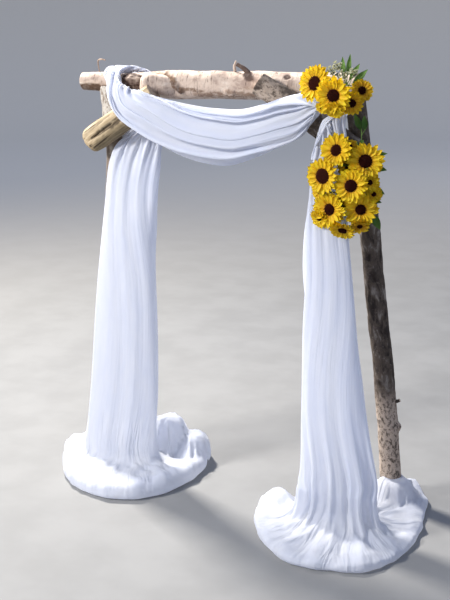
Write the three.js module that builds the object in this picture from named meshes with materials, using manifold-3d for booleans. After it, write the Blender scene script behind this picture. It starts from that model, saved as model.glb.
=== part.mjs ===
// Wedding arch: two splayed log posts carry a forked log crossbar, stiffened by two short
// diagonal braces. One long sheer cloth is thrown over the crossbar, swags across the front,
// is gathered at the right corner and falls to the ground on both sides. Two sprays of
// sunflowers are wired to the right corner and to the right post.
// Millimetres. +X runs from the left post to the right post, -Y is the front, +Z is up.
// The origin is the centre of the right post's foot, on the ground.

import * as THREE from 'three';
import { LoftGeometry } from 'three/addons/geometries/LoftGeometry.js';
import { mergeVertices } from 'three/addons/utils/BufferGeometryUtils.js';
import Module from 'manifold-3d';

// Driving dimensions

const GAP = 0.3;                  // clearance left between touching pieces
const FEET_APART = 1586;          // between the centres of the posts at the ground
const CROSSBAR_HEIGHT = 1976;     // axis of the crossbar above the ground
const CROSSBAR_LEFT = -1618;      // sawn left end of the crossbar
const CROSSBAR_RIGHT = -235;      // sawn right end of the crossbar, behind the flowers
const POST_RADIUS = 50;
const BRACE_HALF_HEIGHT = 62;     // left brace, measured across its length in the frame's plane
const BRACE_HALF_DEPTH = 50;      // and from front to back
const BRACE_SETBACK = -98;        // axis of the braces in front of the frame's plane
const WRAP_SPLIT = 1925;          // height where the left fall passes into the wrap, behind the crossbar
const LEFT_PUDDLE_HEIGHT = 96;
const LEFT_HEAP_HEIGHT = 255;      // cloth bunched up beside the left fall
const RIGHT_PUDDLE_HEIGHT = 74;
const CORNER_BOTTOM = 1850;       // height where the corner gather passes into the right fall
const STEM_RADIUS = 3.5;          // sunflower stems
const LEAF_STEM_RADIUS = 2;
const BLOSSOM_STEM_RADIUS = 1.6;
const BUNDLE_RADIUS = 12;
const BLOSSOM_RADIUS = 9;
const JOINT_RADIUS = 3;           // knuckle where the blossom stems part
const LEAF_HALF_THICKNESS = 1.1;
const LEAF_ARCH = 8;              // how far the middle of a leaf bows out
const PETALS = 12;
const WIRE = 1.8;                 // thickness of the floral wire ties
const WIRE_BAND = 5;              // width of the wound wire on the log
const CORNER_TIE_X = -331;        // place of the tie along the crossbar
const POST_TIE_HEIGHTS = { upper: 1540, lower: 1420 };
const SHORTEST_TIE_EDGE = 0.6;    // shorter edges of a tie's outline are left out

const V = (x, y, z) => new THREE.Vector3(x, y, z);
const lerp = THREE.MathUtils.lerp;

// Solid helpers

const wasm = await Module();
wasm.setup();

function toSolid(geometry) {
  const bare = new THREE.BufferGeometry();
  bare.setAttribute('position', geometry.getAttribute('position').clone());
  if (geometry.index) bare.setIndex(geometry.index.clone());
  const merged = mergeVertices(bare, 1e-3);
  return new wasm.Manifold(new wasm.Mesh({
    numProp: 3,
    vertProperties: new Float32Array(merged.getAttribute('position').array),
    triVerts: new Uint32Array(merged.index.array),
  }));
}

function toGeometry(solid) {
  const mesh = solid.getMesh();
  const geometry = new THREE.BufferGeometry();
  geometry.setAttribute('position', new THREE.BufferAttribute(mesh.vertProperties, 3));
  geometry.setIndex(new THREE.BufferAttribute(mesh.triVerts, 1));
  geometry.computeVertexNormals();
  return geometry;
}

// A box given by its lowest and highest corners
function block(low, high) {
  const size = high.clone().sub(low);
  const geometry = new THREE.BoxGeometry(size.x, size.y, size.z);
  geometry.translate((low.x + high.x) / 2, (low.y + high.y) / 2, (low.z + high.z) / 2);
  return toSolid(geometry);
}

const FAR = 3000;
const below = (z) => block(V(-FAR, -FAR, -FAR), V(FAR, FAR, z));
const above = (z) => block(V(-FAR, -FAR, z), V(FAR, FAR, FAR));

// The largest of the bodies that a cut leaves
function main(solid) {
  const bodies = solid.decompose();
  bodies.sort((a, b) => b.volume() - a.volume());
  return bodies[0];
}

const cut = (solid, tools) => main(tools.reduce((rest, tool) => rest.subtract(tool), solid));
const join = (solids) => solids.reduce((all, next) => all.add(next));

// A point of a list of number rows at t from 0 to 1, straight between rows
function rowAt(rows, t, column) {
  const place = t * (rows.length - 1);
  const index = Math.min(Math.floor(place), rows.length - 2);
  return lerp(rows[index][column], rows[index + 1][column], place - index);
}

// Logs. A log follows rows of [x, y, z, radius across, radius in depth], with a few knots.

function logSolid(log, grow = 0) {
  const curve = new THREE.CatmullRomCurve3(log.line.map(([x, y, z]) => V(x, y, z)), false, 'centripetal');
  const length = curve.getLength();
  const knots = log.knots ?? [];
  const sections = [];
  for (let i = 0; i <= log.steps; i += 1) {
    const t = i / log.steps;
    const centre = curve.getPoint(t);
    const along = curve.getTangent(t);
    const across = V(0, 1, 0).cross(along).normalize();
    const depth = along.clone().cross(across).normalize();
    const section = [];
    for (let k = 0; k < log.sides; k += 1) {
      const angle = (k / log.sides) * Math.PI * 2;
      let scale = 1 + 0.025 * Math.sin(3 * angle + 7 * t + log.phase) + 0.02 * Math.sin(2 * angle - 11 * t);
      for (const knot of knots) {
        const turn = Math.atan2(Math.sin(angle - knot.angle), Math.cos(angle - knot.angle));
        const away = ((t - knot.t) * length / knot.width) ** 2 + (turn * POST_RADIUS / knot.width) ** 2;
        scale += (knot.height / POST_RADIUS) * Math.exp(-away);
      }
      const wide = rowAt(log.line, t, 3) * scale + grow;
      const deep = rowAt(log.line, t, 4) * scale + grow;
      section.push(centre.clone()
        .addScaledVector(across, Math.cos(angle) * wide)
        .addScaledVector(depth, Math.sin(angle) * deep));
    }
    sections.push(section);
  }
  return toSolid(new LoftGeometry(sections, { capStart: true, capEnd: true }));
}

// A short round branch, tapering from one end to the other
function branch(points, startRadius, endRadius, sides = 6, grow = 0) {
  const last = points.length - 1;
  const line = points.map(([x, y, z], i) => {
    const radius = lerp(startRadius, endRadius, i / last);
    return [x, y, z, radius, radius];
  });
  return logSolid({ line, sides, steps: last * 2, phase: 0 }, grow);
}

const Z0 = CROSSBAR_HEIGHT;
const crossbarTrunk = {
  line: [
    [CROSSBAR_LEFT, 0, Z0 + 1, 43, 43], [-1500, 2, Z0 + 1, 48, 48], [-1380, 6, Z0 - 2, 50, 50],
    [-1250, 8, Z0 - 6, 57, 57], [-1140, 4, Z0 - 7, 66, 64], [-1000, 0, Z0 - 6, 64, 64],
    [-820, -2, Z0 - 5, 63, 63], [-640, 0, Z0 - 3, 65, 64], [-450, 3, Z0, 63, 62],
    [-300, 2, Z0 + 2, 61, 61], [CROSSBAR_RIGHT, 0, Z0 + 4, 59, 59],
  ],
  knots: [
    { t: 0.55, angle: -2.6, height: 7, width: 30 },
    { t: 0.66, angle: 2.4, height: 8, width: 45 },
    { t: 0.75, angle: 1.9, height: 6, width: 26 },
    { t: 0.34, angle: 2.0, height: 9, width: 40 },
  ],
  sides: 14, steps: 24, phase: 0.6,
};

// The sawn fork that leaves the crossbar towards the left and the front, and its torn crotch
const forkLine = [[-1130, -14, Z0 - 8], [-1190, -48, Z0 - 6], [-1264, -82, Z0 - 1]];
const crotchLine = [[-1232, -30, Z0 - 6], [-1300, -42, Z0 + 2], [-1378, -32, Z0 + 8]];
const twigs = [
  { points: [[-1528, 0, Z0 + 40], [-1534, 0, 2078], [-1518, -2, 2084], [-1494, -2, 2080]], start: 4.5, end: 2.5 },
  { points: [[-820, -4, Z0 + 50], [-824, -8, 2062], [-816, -10, 2086]], start: 8, end: 4.5 },
  { points: [[-742, -22, Z0 + 44], [-770, -26, 2052], [-806, -28, 2072]], start: 14, end: 8 },
];

function crossbarSolid(grow = 0) {
  return join([
    logSolid(crossbarTrunk, grow),
    branch(forkLine, 52, 40, 12, grow),
    branch(crotchLine, 36, 24, 8, grow),
    ...twigs.map((twig) => branch(twig.points, twig.start, twig.end, 6, grow)),
  ]);
}

const rightPost = {
  line: [
    [0, 0, -40, 52, 52], [-31, 0, 338, 50, 50], [-46, 0, 470, 51, 50], [-71, 0, 695, 48, 48],
    [-106, 0, 922, 47, 47], [-149, 0, 1252, 47, 47], [-193, 0, 1566, 46, 46],
    [-232, 0, 1817, 46, 46], [-252, 0, 1960, 46, 46],
  ],
  knots: [
    { t: 0.155, angle: 0.1, height: 15, width: 42 },
    { t: 0.47, angle: 2.6, height: 5, width: 40 },
  ],
  sides: 14, steps: 20, phase: 2.1,
};
const rightPostStub = [[-20, -6, 500], [6, -10, 512], [18, -12, 520]];

const leftPost = {
  line: [
    [-FEET_APART - 4, 0, -40, 55, 55], [-1572, 0, 240, 53, 53], [-1548, 0, 550, 51, 51],
    [-1500, 0, 1000, 50, 50], [-1464, 0, 1380, 49, 49], [-1450, 0, 1650, 48, 48],
    [-1468, 0, 1830, 47, 47], [-1478, 0, 1960, 47, 47],
  ],
  knots: [{ t: 0.3, angle: -1.2, height: 9, width: 40 }, { t: 0.62, angle: 0.6, height: 7, width: 34 }],
  sides: 14, steps: 18, phase: 4.4,
};

const leftBrace = {
  line: [
    [-1532, BRACE_SETBACK, 1700, BRACE_HALF_HEIGHT, BRACE_HALF_DEPTH],
    [-1372, BRACE_SETBACK - 2, 1806, BRACE_HALF_HEIGHT, BRACE_HALF_DEPTH],
    [-1190, BRACE_SETBACK, 1928, BRACE_HALF_HEIGHT - 6, BRACE_HALF_DEPTH - 4],
  ],
  sides: 10, steps: 6, phase: 1.2,
};
const rightBrace = {
  line: [
    [-674, BRACE_SETBACK, 1990, BRACE_HALF_HEIGHT - 10, BRACE_HALF_DEPTH - 6],
    [-380, BRACE_SETBACK, 1812, BRACE_HALF_HEIGHT - 4, BRACE_HALF_DEPTH],
    [-152, BRACE_SETBACK, 1655, BRACE_HALF_HEIGHT - 2, BRACE_HALF_DEPTH],
  ],
  sides: 12, steps: 8, phase: 3.3,
};

function rightPostSolid(grow = 0) {
  return join([logSolid(rightPost, grow), branch(rightPostStub, 10, 7, 6, grow)]);
}

const crossbar = crossbarSolid();
const crossbarClear = crossbarSolid(GAP);
const postClears = [logSolid(leftPost, GAP), rightPostSolid(GAP)];
const ground = below(0);

const leftPostBody = cut(logSolid(leftPost), [ground, crossbarClear]);
const rightPostBody = cut(rightPostSolid(), [ground, crossbarClear]);
const leftBraceBody = cut(logSolid(leftBrace), [crossbarClear, postClears[0]]);
const rightBraceBody = cut(logSolid(rightBrace), [crossbarClear, postClears[1]]);
const logClears = [crossbarClear, ...postClears, logSolid(leftBrace, GAP), logSolid(rightBrace, GAP)];

// Cloth. A band is a closed solid between two edge lines, with soft pleats along its length.
// Each row is [[x, y, z] of one edge, [x, y, z] of the other edge, half thickness].

const BAND_POINTS = 12;

function band(rows, { from = 0, to = 1, steps, pleats, depth, phase = 0 }) {
  const firstEdge = new THREE.CatmullRomCurve3(rows.map(([a]) => V(...a)), false, 'centripetal');
  const otherEdge = new THREE.CatmullRomCurve3(rows.map(([, b]) => V(...b)), false, 'centripetal');
  const middle = (t) => firstEdge.getPoint(t).lerp(otherEdge.getPoint(t), 0.5);
  const sections = [];
  for (let i = 0; i <= steps; i += 1) {
    const t = lerp(from, to, i / steps);
    const near = Math.max(t - 0.004, 0);
    const far = Math.min(t + 0.004, 1);
    const travel = middle(far).sub(middle(near)).normalize();
    const across = otherEdge.getPoint(t).sub(firstEdge.getPoint(t));
    const halfWidth = across.length() / 2;
    across.normalize();
    const outward = travel.cross(across).normalize();
    const half = rowAt(rows, t, 2);
    const centre = middle(t);
    const section = [];
    for (let k = 0; k < 2 * BAND_POINTS; k += 1) {
      const side = k < BAND_POINTS ? 1 : -1;
      const s = side * (1 - 2 * (k % BAND_POINTS) / BAND_POINTS);
      const pleat = depth * half * Math.sin(pleats * Math.PI * s + phase + 1.5 * t);
      const offset = side * half * Math.sqrt(Math.max(1 - s ** 4, 0)) + pleat * (1 - s * s);
      section.push(centre.clone().addScaledVector(across, s * halfWidth).addScaledVector(outward, offset));
    }
    sections.push(section);
  }
  return toSolid(new LoftGeometry(sections, { capStart: true, capEnd: true }));
}

// From behind the crossbar over its top, then down in front of the left brace and across as the swag
const swagRows = [
  [[-1440, 80, 1880], [-1215, 88, 1880], 11],
  [[-1448, 74, 1960], [-1228, 80, 1962], 11],
  [[-1475, 46, 2014], [-1255, 56, 2022], 12],
  [[-1492, 0, 2037], [-1335, 0, 2043], 12],
  [[-1480, -50, 2018], [-1380, -60, 2028], 12],
  [[-1450, -92, 1968], [-1362, -108, 1996], 13],
  [[-1415, -150, 1895], [-1316, -148, 1972], 16],
  [[-1342, -186, 1830], [-1235, -160, 1944], 22],
  [[-1262, -190, 1769], [-1105, -164, 1912], 28],
  [[-1130, -186, 1684], [-985, -160, 1891], 34],
  [[-965, -182, 1630], [-855, -156, 1877], 38],
  [[-800, -178, 1618], [-735, -152, 1878], 38],
  [[-662, -176, 1664], [-635, -152, 1904], 34],
  [[-555, -176, 1714], [-540, -154, 1938], 30],
  [[-450, -178, 1770], [-450, -162, 1960], 26],
  [[-366, -180, 1862], [-372, -172, 1972], 23],
  [[-322, -182, 1888], [-326, -178, 1976], 23],
];
const SWAG_START = 0.345;
const SWAG_SEAM = 0.0012;

// Around the right corner, from the swag's end to the head of the right fall
const gatherRows = [
  [[-320, -182, 1888], [-324, -178, 1976], 23],
  [[-306, -183, 1880], [-282, -180, 1974], 26],
  [[-303, -184, 1870], [-240, -182, 1940], 27],
  [[-325, -184, 1860], [-226, -182, 1888], 26],
  [[-350, -184, CORNER_BOTTOM - 10], [-238, -184, CORNER_BOTTOM - 10], 24],
];

const leftFallRows = [
  [[-1440, 84, WRAP_SPLIT + 20], [-1215, 90, WRAP_SPLIT + 20], 11],
  [[-1396, 42, 1800], [-1205, 52, 1800], 14],
  [[-1432, -66, 1680], [-1190, -8, 1690], 20],
  [[-1457, -92, 1600], [-1186, -66, 1600], 24],
  [[-1474, -112, 1390], [-1190, -106, 1400], 46],
  [[-1494, -126, 1165], [-1188, -122, 1165], 60],
  [[-1528, -132, 820], [-1178, -132, 820], 70],
  [[-1564, -136, 440], [-1180, -136, 440], 76],
  [[-1594, -140, 200], [-1196, -140, 200], 82],
  [[-1608, -140, LEFT_PUDDLE_HEIGHT - 30], [-1190, -140, LEFT_PUDDLE_HEIGHT - 30], 86],
];
const rightFallRows = [
  [[-350, -184, CORNER_BOTTOM + 20], [-238, -184, CORNER_BOTTOM + 20], 24],
  [[-384, -192, 1700], [-224, -192, 1705], 26],
  [[-400, -202, 1500], [-210, -202, 1505], 30],
  [[-412, -222, 1317], [-198, -222, 1325], 34],
  [[-394, -280, 968], [-142, -280, 985], 44],
  [[-373, -360, 545], [-68, -360, 570], 58],
  [[-356, -428, 290], [10, -428, 310], 70],
  [[-370, -462, 150], [48, -462, 150], 84],
  [[-380, -470, RIGHT_PUDDLE_HEIGHT - 30], [54, -470, RIGHT_PUDDLE_HEIGHT - 30], 88],
];

// A heap of cloth: rings of the same wavy outline, drawn in as they rise. Each row of the profile is
// the share of the height and the share of the outline.
const PUDDLE_PROFILE = [[0, 0.975], [0.25, 1], [0.62, 0.975], [0.9, 0.9], [1, 0.8]];
const HEAP_PROFILE = [[0, 1], [0.35, 1], [0.6, 0.88], [0.82, 0.64], [0.95, 0.38], [1, 0.15]];

function puddle(outline, centre, height, profile = PUDDLE_PROFILE, count = 40) {
  const edge = new THREE.CatmullRomCurve3(outline.map(([x, y]) => V(x, y, 0)), true, 'centripetal');
  const sections = profile.map(([rise, inset]) => {
    const ring = [];
    for (let k = 0; k < count; k += 1) {
      const point = edge.getPointAt(k / count);
      const wave = 1 + 0.012 * Math.sin((k / count) * Math.PI * 22);
      ring.push(V(
        lerp(centre[0], point.x, inset * wave),
        lerp(centre[1], point.y, inset * wave),
        rise * height,
      ));
    }
    return ring;
  });
  return toSolid(new LoftGeometry(sections, { capStart: true, capEnd: true }));
}

const leftPuddleOutline = [
  [-1775, -43], [-1676, -266], [-1560, -408], [-1398, -495], [-1213, -486], [-1073, -380], [-985, -142],
  [-980, 48], [-1060, 230], [-1200, 330], [-1370, 350], [-1540, 300], [-1680, 190], [-1765, 80],
];
const leftHeapOutline = [
  [-1158, -112], [-1090, -92], [-1040, -20], [-1030, 80], [-1085, 140], [-1180, 155], [-1245, 120], [-1250, 30],
  [-1236, -28], [-1186, -66],
];
const rightPuddleOutline = [
  [-583, -235], [-569, -421], [-472, -639], [-290, -800], [-119, -805], [41, -758], [150, -600], [196, -400],
  [190, -150], [160, 60], [70, 170], [-60, 150], [-140, 10], [-240, -120], [-370, -180], [-490, -195],
];

const wrapBand = band(swagRows, { from: 0, to: SWAG_START, steps: 10, pleats: 2.5, depth: 0.25 });
const swagBand = band(swagRows, {
  from: SWAG_START + SWAG_SEAM, to: 1, steps: 17, pleats: 3.5, depth: 0.32, phase: 0.6,
});
const gatherBand = band(gatherRows, { steps: 7, pleats: 2.5, depth: 0.25 });
const leftFallBand = band(leftFallRows, { steps: 13, pleats: 2.5, depth: 0.2, phase: 0.8 });
const rightFallBand = band(rightFallRows, { steps: 12, pleats: 2.5, depth: 0.2, phase: 2.2 });

const wrapBody = cut(wrapBand, [below(WRAP_SPLIT + GAP), ...logClears]);
const swagBody = cut(swagBand, logClears);
const gatherBody = cut(gatherBand, [below(CORNER_BOTTOM + GAP), ...logClears]);
const leftFallBody = cut(leftFallBand, [above(WRAP_SPLIT), below(LEFT_PUDDLE_HEIGHT + GAP), ...logClears]);
const rightFallBody = cut(rightFallBand, [above(CORNER_BOTTOM), below(RIGHT_PUDDLE_HEIGHT + GAP), ...logClears]);
const leftHeap = puddle(leftHeapOutline, [-1160, 20], LEFT_HEAP_HEIGHT, HEAP_PROFILE, 20);
const leftPuddleBody = cut(
  puddle(leftPuddleOutline, [-1385, -95], LEFT_PUDDLE_HEIGHT).add(leftHeap), [postClears[0]]);
const rightPuddleBody = cut(puddle(rightPuddleOutline, [-180, -380], RIGHT_PUDDLE_HEIGHT), [postClears[1]]);

// Flowers. A head is built facing +Z and turned to face its own way.

function headSolid(radius) {
  const profile = [[-26, 7, 0], [-9, 23, 0], [-1, radius, 1], [2.5, radius, 1],
    [3, radius * 0.42, 0], [8, radius * 0.38, 0], [11, radius * 0.22, 0]];
  const sections = profile.map(([height, wide, petals]) => {
    const ring = [];
    for (let k = 0; k < 2 * PETALS; k += 1) {
      const angle = (k / (2 * PETALS)) * Math.PI * 2;
      const notch = petals && k % 2 ? 0.72 : 1;
      const lift = petals ? 5 * (k % 2 ? -0.3 : 1) : 0;
      ring.push(V(Math.cos(angle) * wide * notch, Math.sin(angle) * wide * notch, height + lift));
    }
    return ring;
  });
  return new LoftGeometry(sections, { capStart: true, capEnd: true });
}

// A stem is a small hexagon swept along a curve
function stemSolid(points, radius = STEM_RADIUS) {
  const path = new THREE.CatmullRomCurve3(points.map((p) => V(...p)));
  const shape = new THREE.Shape();
  shape.absarc(0, 0, radius, 0, Math.PI * 2);
  return toSolid(new THREE.ExtrudeGeometry(shape, {
    extrudePath: path, steps: 3 * (points.length - 1), curveSegments: 3, bevelEnabled: false,
  }));
}

// Each flower: centre of its disc, petal radius, the way it faces, a point that its stem passes on
// its way round the cloth, and where the stem joins its bundle
const flowers = {
  corner_sunflower_1: {
    at: [-368, -254, 2006], radius: 84, facing: [-0.35, -1, 0.25], via: [-345, -230, 1992], root: [-322, -222, 1980],
  },
  corner_sunflower_2: {
    at: [-272, -300, 1960], radius: 82, facing: [0, -1, -0.05], via: [-270, -252, 1958], root: [-268, -226, 1957],
  },
  corner_sunflower_3: {
    at: [-200, -264, 1927], radius: 54, facing: [0.35, -1, -0.3], via: [-208, -240, 1940], root: [-214, -222, 1948],
  },
  corner_sunflower_4: {
    at: [-167, -221, 1978], radius: 52, facing: [0.6, -1, 0.3], via: [-180, -206, 1962], root: [-180, -212, 1948],
  },
  post_sunflower_1: {
    at: [-262, -266, 1724], radius: 78, facing: [-0.25, -1, 0.2], via: [-208, -232, 1722], root: [-196, -162, 1726],
  },
  post_sunflower_2: {
    at: [-136, -246, 1680], radius: 84, facing: [0.35, -1, 0.1], via: [-160, -206, 1682], root: [-190, -162, 1690],
  },
  post_sunflower_3: {
    at: [-314, -286, 1612], radius: 84, facing: [-0.35, -1, 0], via: [-200, -246, 1612], root: [-188, -148, 1606],
  },
  post_sunflower_4: {
    at: [-184, -298, 1578], radius: 78, facing: [0.05, -1, 0], via: [-184, -220, 1572], root: [-185, -136, 1566],
  },
  post_sunflower_5: {
    at: [-281, -278, 1465], radius: 84, facing: [-0.3, -1, -0.05], via: [-192, -252, 1478], root: [-179, -98, 1486],
  },
  post_sunflower_6: {
    at: [-145, -266, 1471], radius: 78, facing: [0.3, -1, -0.05], via: [-162, -180, 1460], root: [-174, -80, 1446],
  },
  post_sunflower_7: {
    at: [-214, -302, 1382], radius: 60, facing: [-0.05, -1, -1], via: [-186, -262, 1396], root: [-166, -60, 1376],
  },
};

function flowerSolid({ at, radius, facing, via, root }) {
  const axis = V(...facing).normalize();
  const turn = new THREE.Matrix4().makeRotationFromQuaternion(
    new THREE.Quaternion().setFromUnitVectors(V(0, 0, 1), axis));
  const head = headSolid(radius).applyMatrix4(turn).translate(...at);
  const neck = V(...at).addScaledVector(axis, -20);
  return toSolid(head).add(stemSolid([neck.toArray(), via, root]));
}

const cornerBundleLine = [[-345, -222, 1992], [-268, -224, 1957], [-170, -212, 1945]];
const postBundleLine = [
  [-198, -160, 1750], [-190, -160, 1660], [-186, -136, 1570], [-176, -86, 1458], [-167, -60, 1386], [-163, -58, 1345],
];
const bundleSolid = (line, grow = 0) => branch(line, BUNDLE_RADIUS, BUNDLE_RADIUS - 2, 8, grow);
const clothClear = [gatherBody, rightFallBody];

const cornerBundle = cut(bundleSolid(cornerBundleLine), [...logClears, ...clothClear]);
const postBundle = cut(bundleSolid(postBundleLine), [...logClears, ...clothClear]);
const bundleClears = [bundleSolid(cornerBundleLine, GAP), bundleSolid(postBundleLine, GAP)];

// A leaf: a thin blade that widens from its foot and narrows to its tip
function leafSolid(foot, tip, width, face) {
  const start = V(...foot);
  const along = V(...tip).sub(start);
  const side = along.clone().cross(V(...face)).normalize();
  const normal = side.clone().cross(along).normalize();
  const shape = [[0, 0.08], [0.25, 0.7], [0.5, 1], [0.78, 0.62], [1, 0.06]];
  const sections = shape.map(([t, share]) => {
    const bow = LEAF_ARCH * Math.sin(Math.PI * t);
    const centre = start.clone().addScaledVector(along, t).addScaledVector(normal, bow);
    const half = (width / 2) * share;
    return [
      centre.clone().addScaledVector(side, half),
      centre.clone().addScaledVector(normal, -LEAF_HALF_THICKNESS),
      centre.clone().addScaledVector(side, -half),
      centre.clone().addScaledVector(normal, LEAF_HALF_THICKNESS),
    ];
  });
  return toSolid(new LoftGeometry(sections, { capStart: true, capEnd: true }));
}

// Sprays of leaves: each leaf has a foot on a shared stem, a tip, a width and the way its face looks
const FRONT = [0, -1, 0];
const cornerLeaves = [
  { foot: [-252, -206, 2026], tip: [-262, -196, 2118], width: 24, face: FRONT },
  { foot: [-236, -208, 2034], tip: [-226, -206, 2134], width: 22, face: [0.4, -1, 0] },
  { foot: [-228, -206, 2018], tip: [-182, -214, 2090], width: 26, face: [0.2, -1, 0.3] },
  { foot: [-214, -206, 2000], tip: [-150, -196, 2066], width: 30, face: [0.1, -1, 0.4] },
];
const cornerLeafStems = [
  [[-256, -221, 1962], [-248, -209, 1980], [-240, -207, 2000]],
  [[-240, -207, 2000], [-250, -203, 2024], [-255, -199, 2060]],
  [[-240, -207, 2000], [-236, -208, 2036], [-232, -207, 2070]],
  [[-240, -207, 2000], [-224, -207, 2022], [-208, -209, 2048]],
  [[-240, -207, 2000], [-216, -206, 1998], [-194, -203, 2020]],
];
const postLeaves = [
  { foot: [-166, -150, 1800], tip: [-174, -128, 1864], width: 30, face: [0.3, -1, 0] },
  { foot: [-180, -150, 1800], tip: [-214, -146, 1874], width: 30, face: FRONT },
  { foot: [-146, -162, 1694], tip: [-58, -160, 1706], width: 30, face: [0, -1, 0.5] },
  { foot: [-142, -162, 1650], tip: [-60, -150, 1632], width: 34, face: [0.2, -1, 0.2] },
  { foot: [-140, -122, 1560], tip: [-72, -120, 1520], width: 34, face: [0.3, -1, 0] },
  { foot: [-132, -84, 1420], tip: [-92, -86, 1352], width: 38, face: [0.3, -1, 0] },
];
const postLeafStems = [
  [
    [-178, -152, 1812], [-175, -160, 1740], [-171, -160, 1660], [-166, -140, 1570], [-156, -88, 1462],
    [-148, -72, 1410],
  ],
  [[-177, -156, 1780], [-166, -150, 1800], [-156, -144, 1816]],
  [[-177, -156, 1780], [-180, -150, 1800], [-184, -145, 1820]],
  [[-174, -160, 1700], [-146, -161, 1694], [-122, -161, 1697]],
  [[-170, -159, 1655], [-142, -161, 1650], [-118, -158, 1645]],
  [[-166, -138, 1568], [-150, -128, 1562], [-120, -121, 1548]],
  [[-152, -78, 1432], [-138, -82, 1424], [-120, -84, 1400]],
  [[-190, -160, 1720], [-182, -160, 1722], [-173, -160, 1722]],
];

// Blossoms: the first stem rises to a knuckle, where the others part towards their blossoms
const fillerStems = [
  [[-232, -219, 1957], [-226, -226, 1980], [-224, -230, 1996]],
  [[-224, -230, 1996], [-236, -234, 2022], [-246, -238, 2044]],
  [[-224, -230, 1996], [-212, -232, 2024], [-203, -236, 2054]],
  [[-224, -230, 1996], [-244, -228, 2034], [-276, -230, 2082]],
  [[-224, -230, 1996], [-262, -226, 2024], [-302, -226, 2060]],
];

function fillerSolid() {
  return join(fillerStems.map((points, i) => {
    const [radius, detail] = i === 0 ? [JOINT_RADIUS, 0] : [BLOSSOM_RADIUS, 1];
    const ball = toSolid(new THREE.IcosahedronGeometry(radius, detail).translate(...points.at(-1)));
    return stemSolid(points, BLOSSOM_STEM_RADIUS).add(ball);
  }));
}

// A wire tie: a taut band around what it binds, wound at one place along the axis named by normal.
// It follows the convex outline of the bound pieces in a thin slab there.
function tieSolid(pieces, normal, place, grow = 0) {
  const slabLow = V(-FAR, -FAR, -FAR);
  const slabHigh = V(FAR, FAR, FAR);
  const width = WIRE_BAND + 2 * grow;
  slabLow[normal] = place - width / 2;
  slabHigh[normal] = place + width / 2;
  const slab = block(slabLow, slabHigh);
  const flat = normal === 'x' ? (x, y, z) => [y, z] : (x, y) => [x, y];
  const points = [];
  for (const piece of pieces) {
    const { vertProperties } = piece.intersect(slab).getMesh();
    for (let i = 0; i < vertProperties.length; i += 3) {
      points.push(flat(vertProperties[i], vertProperties[i + 1], vertProperties[i + 2]));
    }
  }
  const hull = convexOutline(points);
  const shape = new THREE.Shape(offsetOutline(hull, GAP + WIRE + grow));
  shape.holes.push(new THREE.Path(offsetOutline(hull, GAP - grow)));
  const geometry = new THREE.ExtrudeGeometry(shape, { depth: width, bevelEnabled: false });
  if (normal === 'x') {
    geometry.rotateX(Math.PI / 2).rotateZ(Math.PI / 2);
    geometry.translate(place - width / 2, 0, 0);
  } else {
    geometry.translate(0, 0, place - width / 2);
  }
  return toSolid(geometry);
}

// The convex outline of a set of points, anticlockwise
function convexOutline(points) {
  const sorted = [...points].sort((a, b) => a[0] - b[0] || a[1] - b[1]);
  const turn = (o, a, b) => (a[0] - o[0]) * (b[1] - o[1]) - (a[1] - o[1]) * (b[0] - o[0]);
  const half = (list) => {
    const chain = [];
    for (const p of list) {
      while (chain.length > 1 && turn(chain.at(-2), chain.at(-1), p) <= 0) chain.pop();
      chain.push(p);
    }
    return chain.slice(0, -1);
  };
  const outline = [...half(sorted), ...half(sorted.reverse())];
  const kept = outline.filter((p, i) => {
    const next = outline[(i + 1) % outline.length];
    return Math.hypot(next[0] - p[0], next[1] - p[1]) > SHORTEST_TIE_EDGE;
  });
  return kept.map(([x, y]) => new THREE.Vector2(x, y));
}

// The same outline moved outwards by a distance
function offsetOutline(outline, distance) {
  const count = outline.length;
  return outline.map((point, i) => {
    const before = point.clone().sub(outline[(i + count - 1) % count]).normalize();
    const after = outline[(i + 1) % count].clone().sub(point).normalize();
    const out = new THREE.Vector2(before.y + after.y, -before.x - after.x).normalize();
    const spread = Math.max(out.x * before.y - out.y * before.x, 0.3);
    return point.clone().addScaledVector(out, distance / spread);
  });
}

function spray(leaves, stems) {
  return join([
    ...leaves.map(({ foot, tip, width, face }) => leafSolid(foot, tip, width, face)),
    ...stems.map((points) => stemSolid(points, LEAF_STEM_RADIUS)),
  ]);
}

const cornerBound = [crossbar, swagBody, cornerBundle];
const postBound = [rightPostBody, postBundle];
const cornerTieClear = tieSolid(cornerBound, 'x', CORNER_TIE_X, GAP);

const nodes = {
  left_post: ['bark_dark', leftPostBody],
  right_post: ['bark_dark', rightPostBody],
  crossbar: ['bark_pale', crossbar],
  left_brace: ['split_wood', leftBraceBody],
  right_brace: ['bark_dark', rightBraceBody],
  drape_left_puddle: ['sheer_cloth', leftPuddleBody],
  drape_left_fall: ['sheer_cloth', leftFallBody],
  drape_left_wrap: ['sheer_cloth', wrapBody],
  drape_swag: ['sheer_cloth', swagBody],
  drape_corner_gather: ['sheer_cloth', cut(gatherBody, [cornerTieClear])],
  drape_right_fall: ['sheer_cloth', rightFallBody],
  drape_right_puddle: ['sheer_cloth', rightPuddleBody],
  corner_stem_bundle: ['stem_green', cornerBundle],
  post_stem_bundle: ['stem_green', postBundle],
  corner_leaves: ['leaf_green', cut(spray(cornerLeaves, cornerLeafStems), bundleClears)],
  post_leaves: ['leaf_green', cut(spray(postLeaves, postLeafStems), bundleClears)],
  corner_filler: ['blossom_cream', cut(fillerSolid(), bundleClears)],
  corner_tie: ['wire_green', tieSolid(cornerBound, 'x', CORNER_TIE_X)],
  post_tie_upper: ['wire_green', tieSolid(postBound, 'z', POST_TIE_HEIGHTS.upper)],
  post_tie_lower: ['wire_green', tieSolid(postBound, 'z', POST_TIE_HEIGHTS.lower)],
};
for (const [name, flower] of Object.entries(flowers)) {
  nodes[name] = ['petal_yellow', cut(flowerSolid(flower), [...bundleClears, ...clothClear])];
}

// Materials

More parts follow.
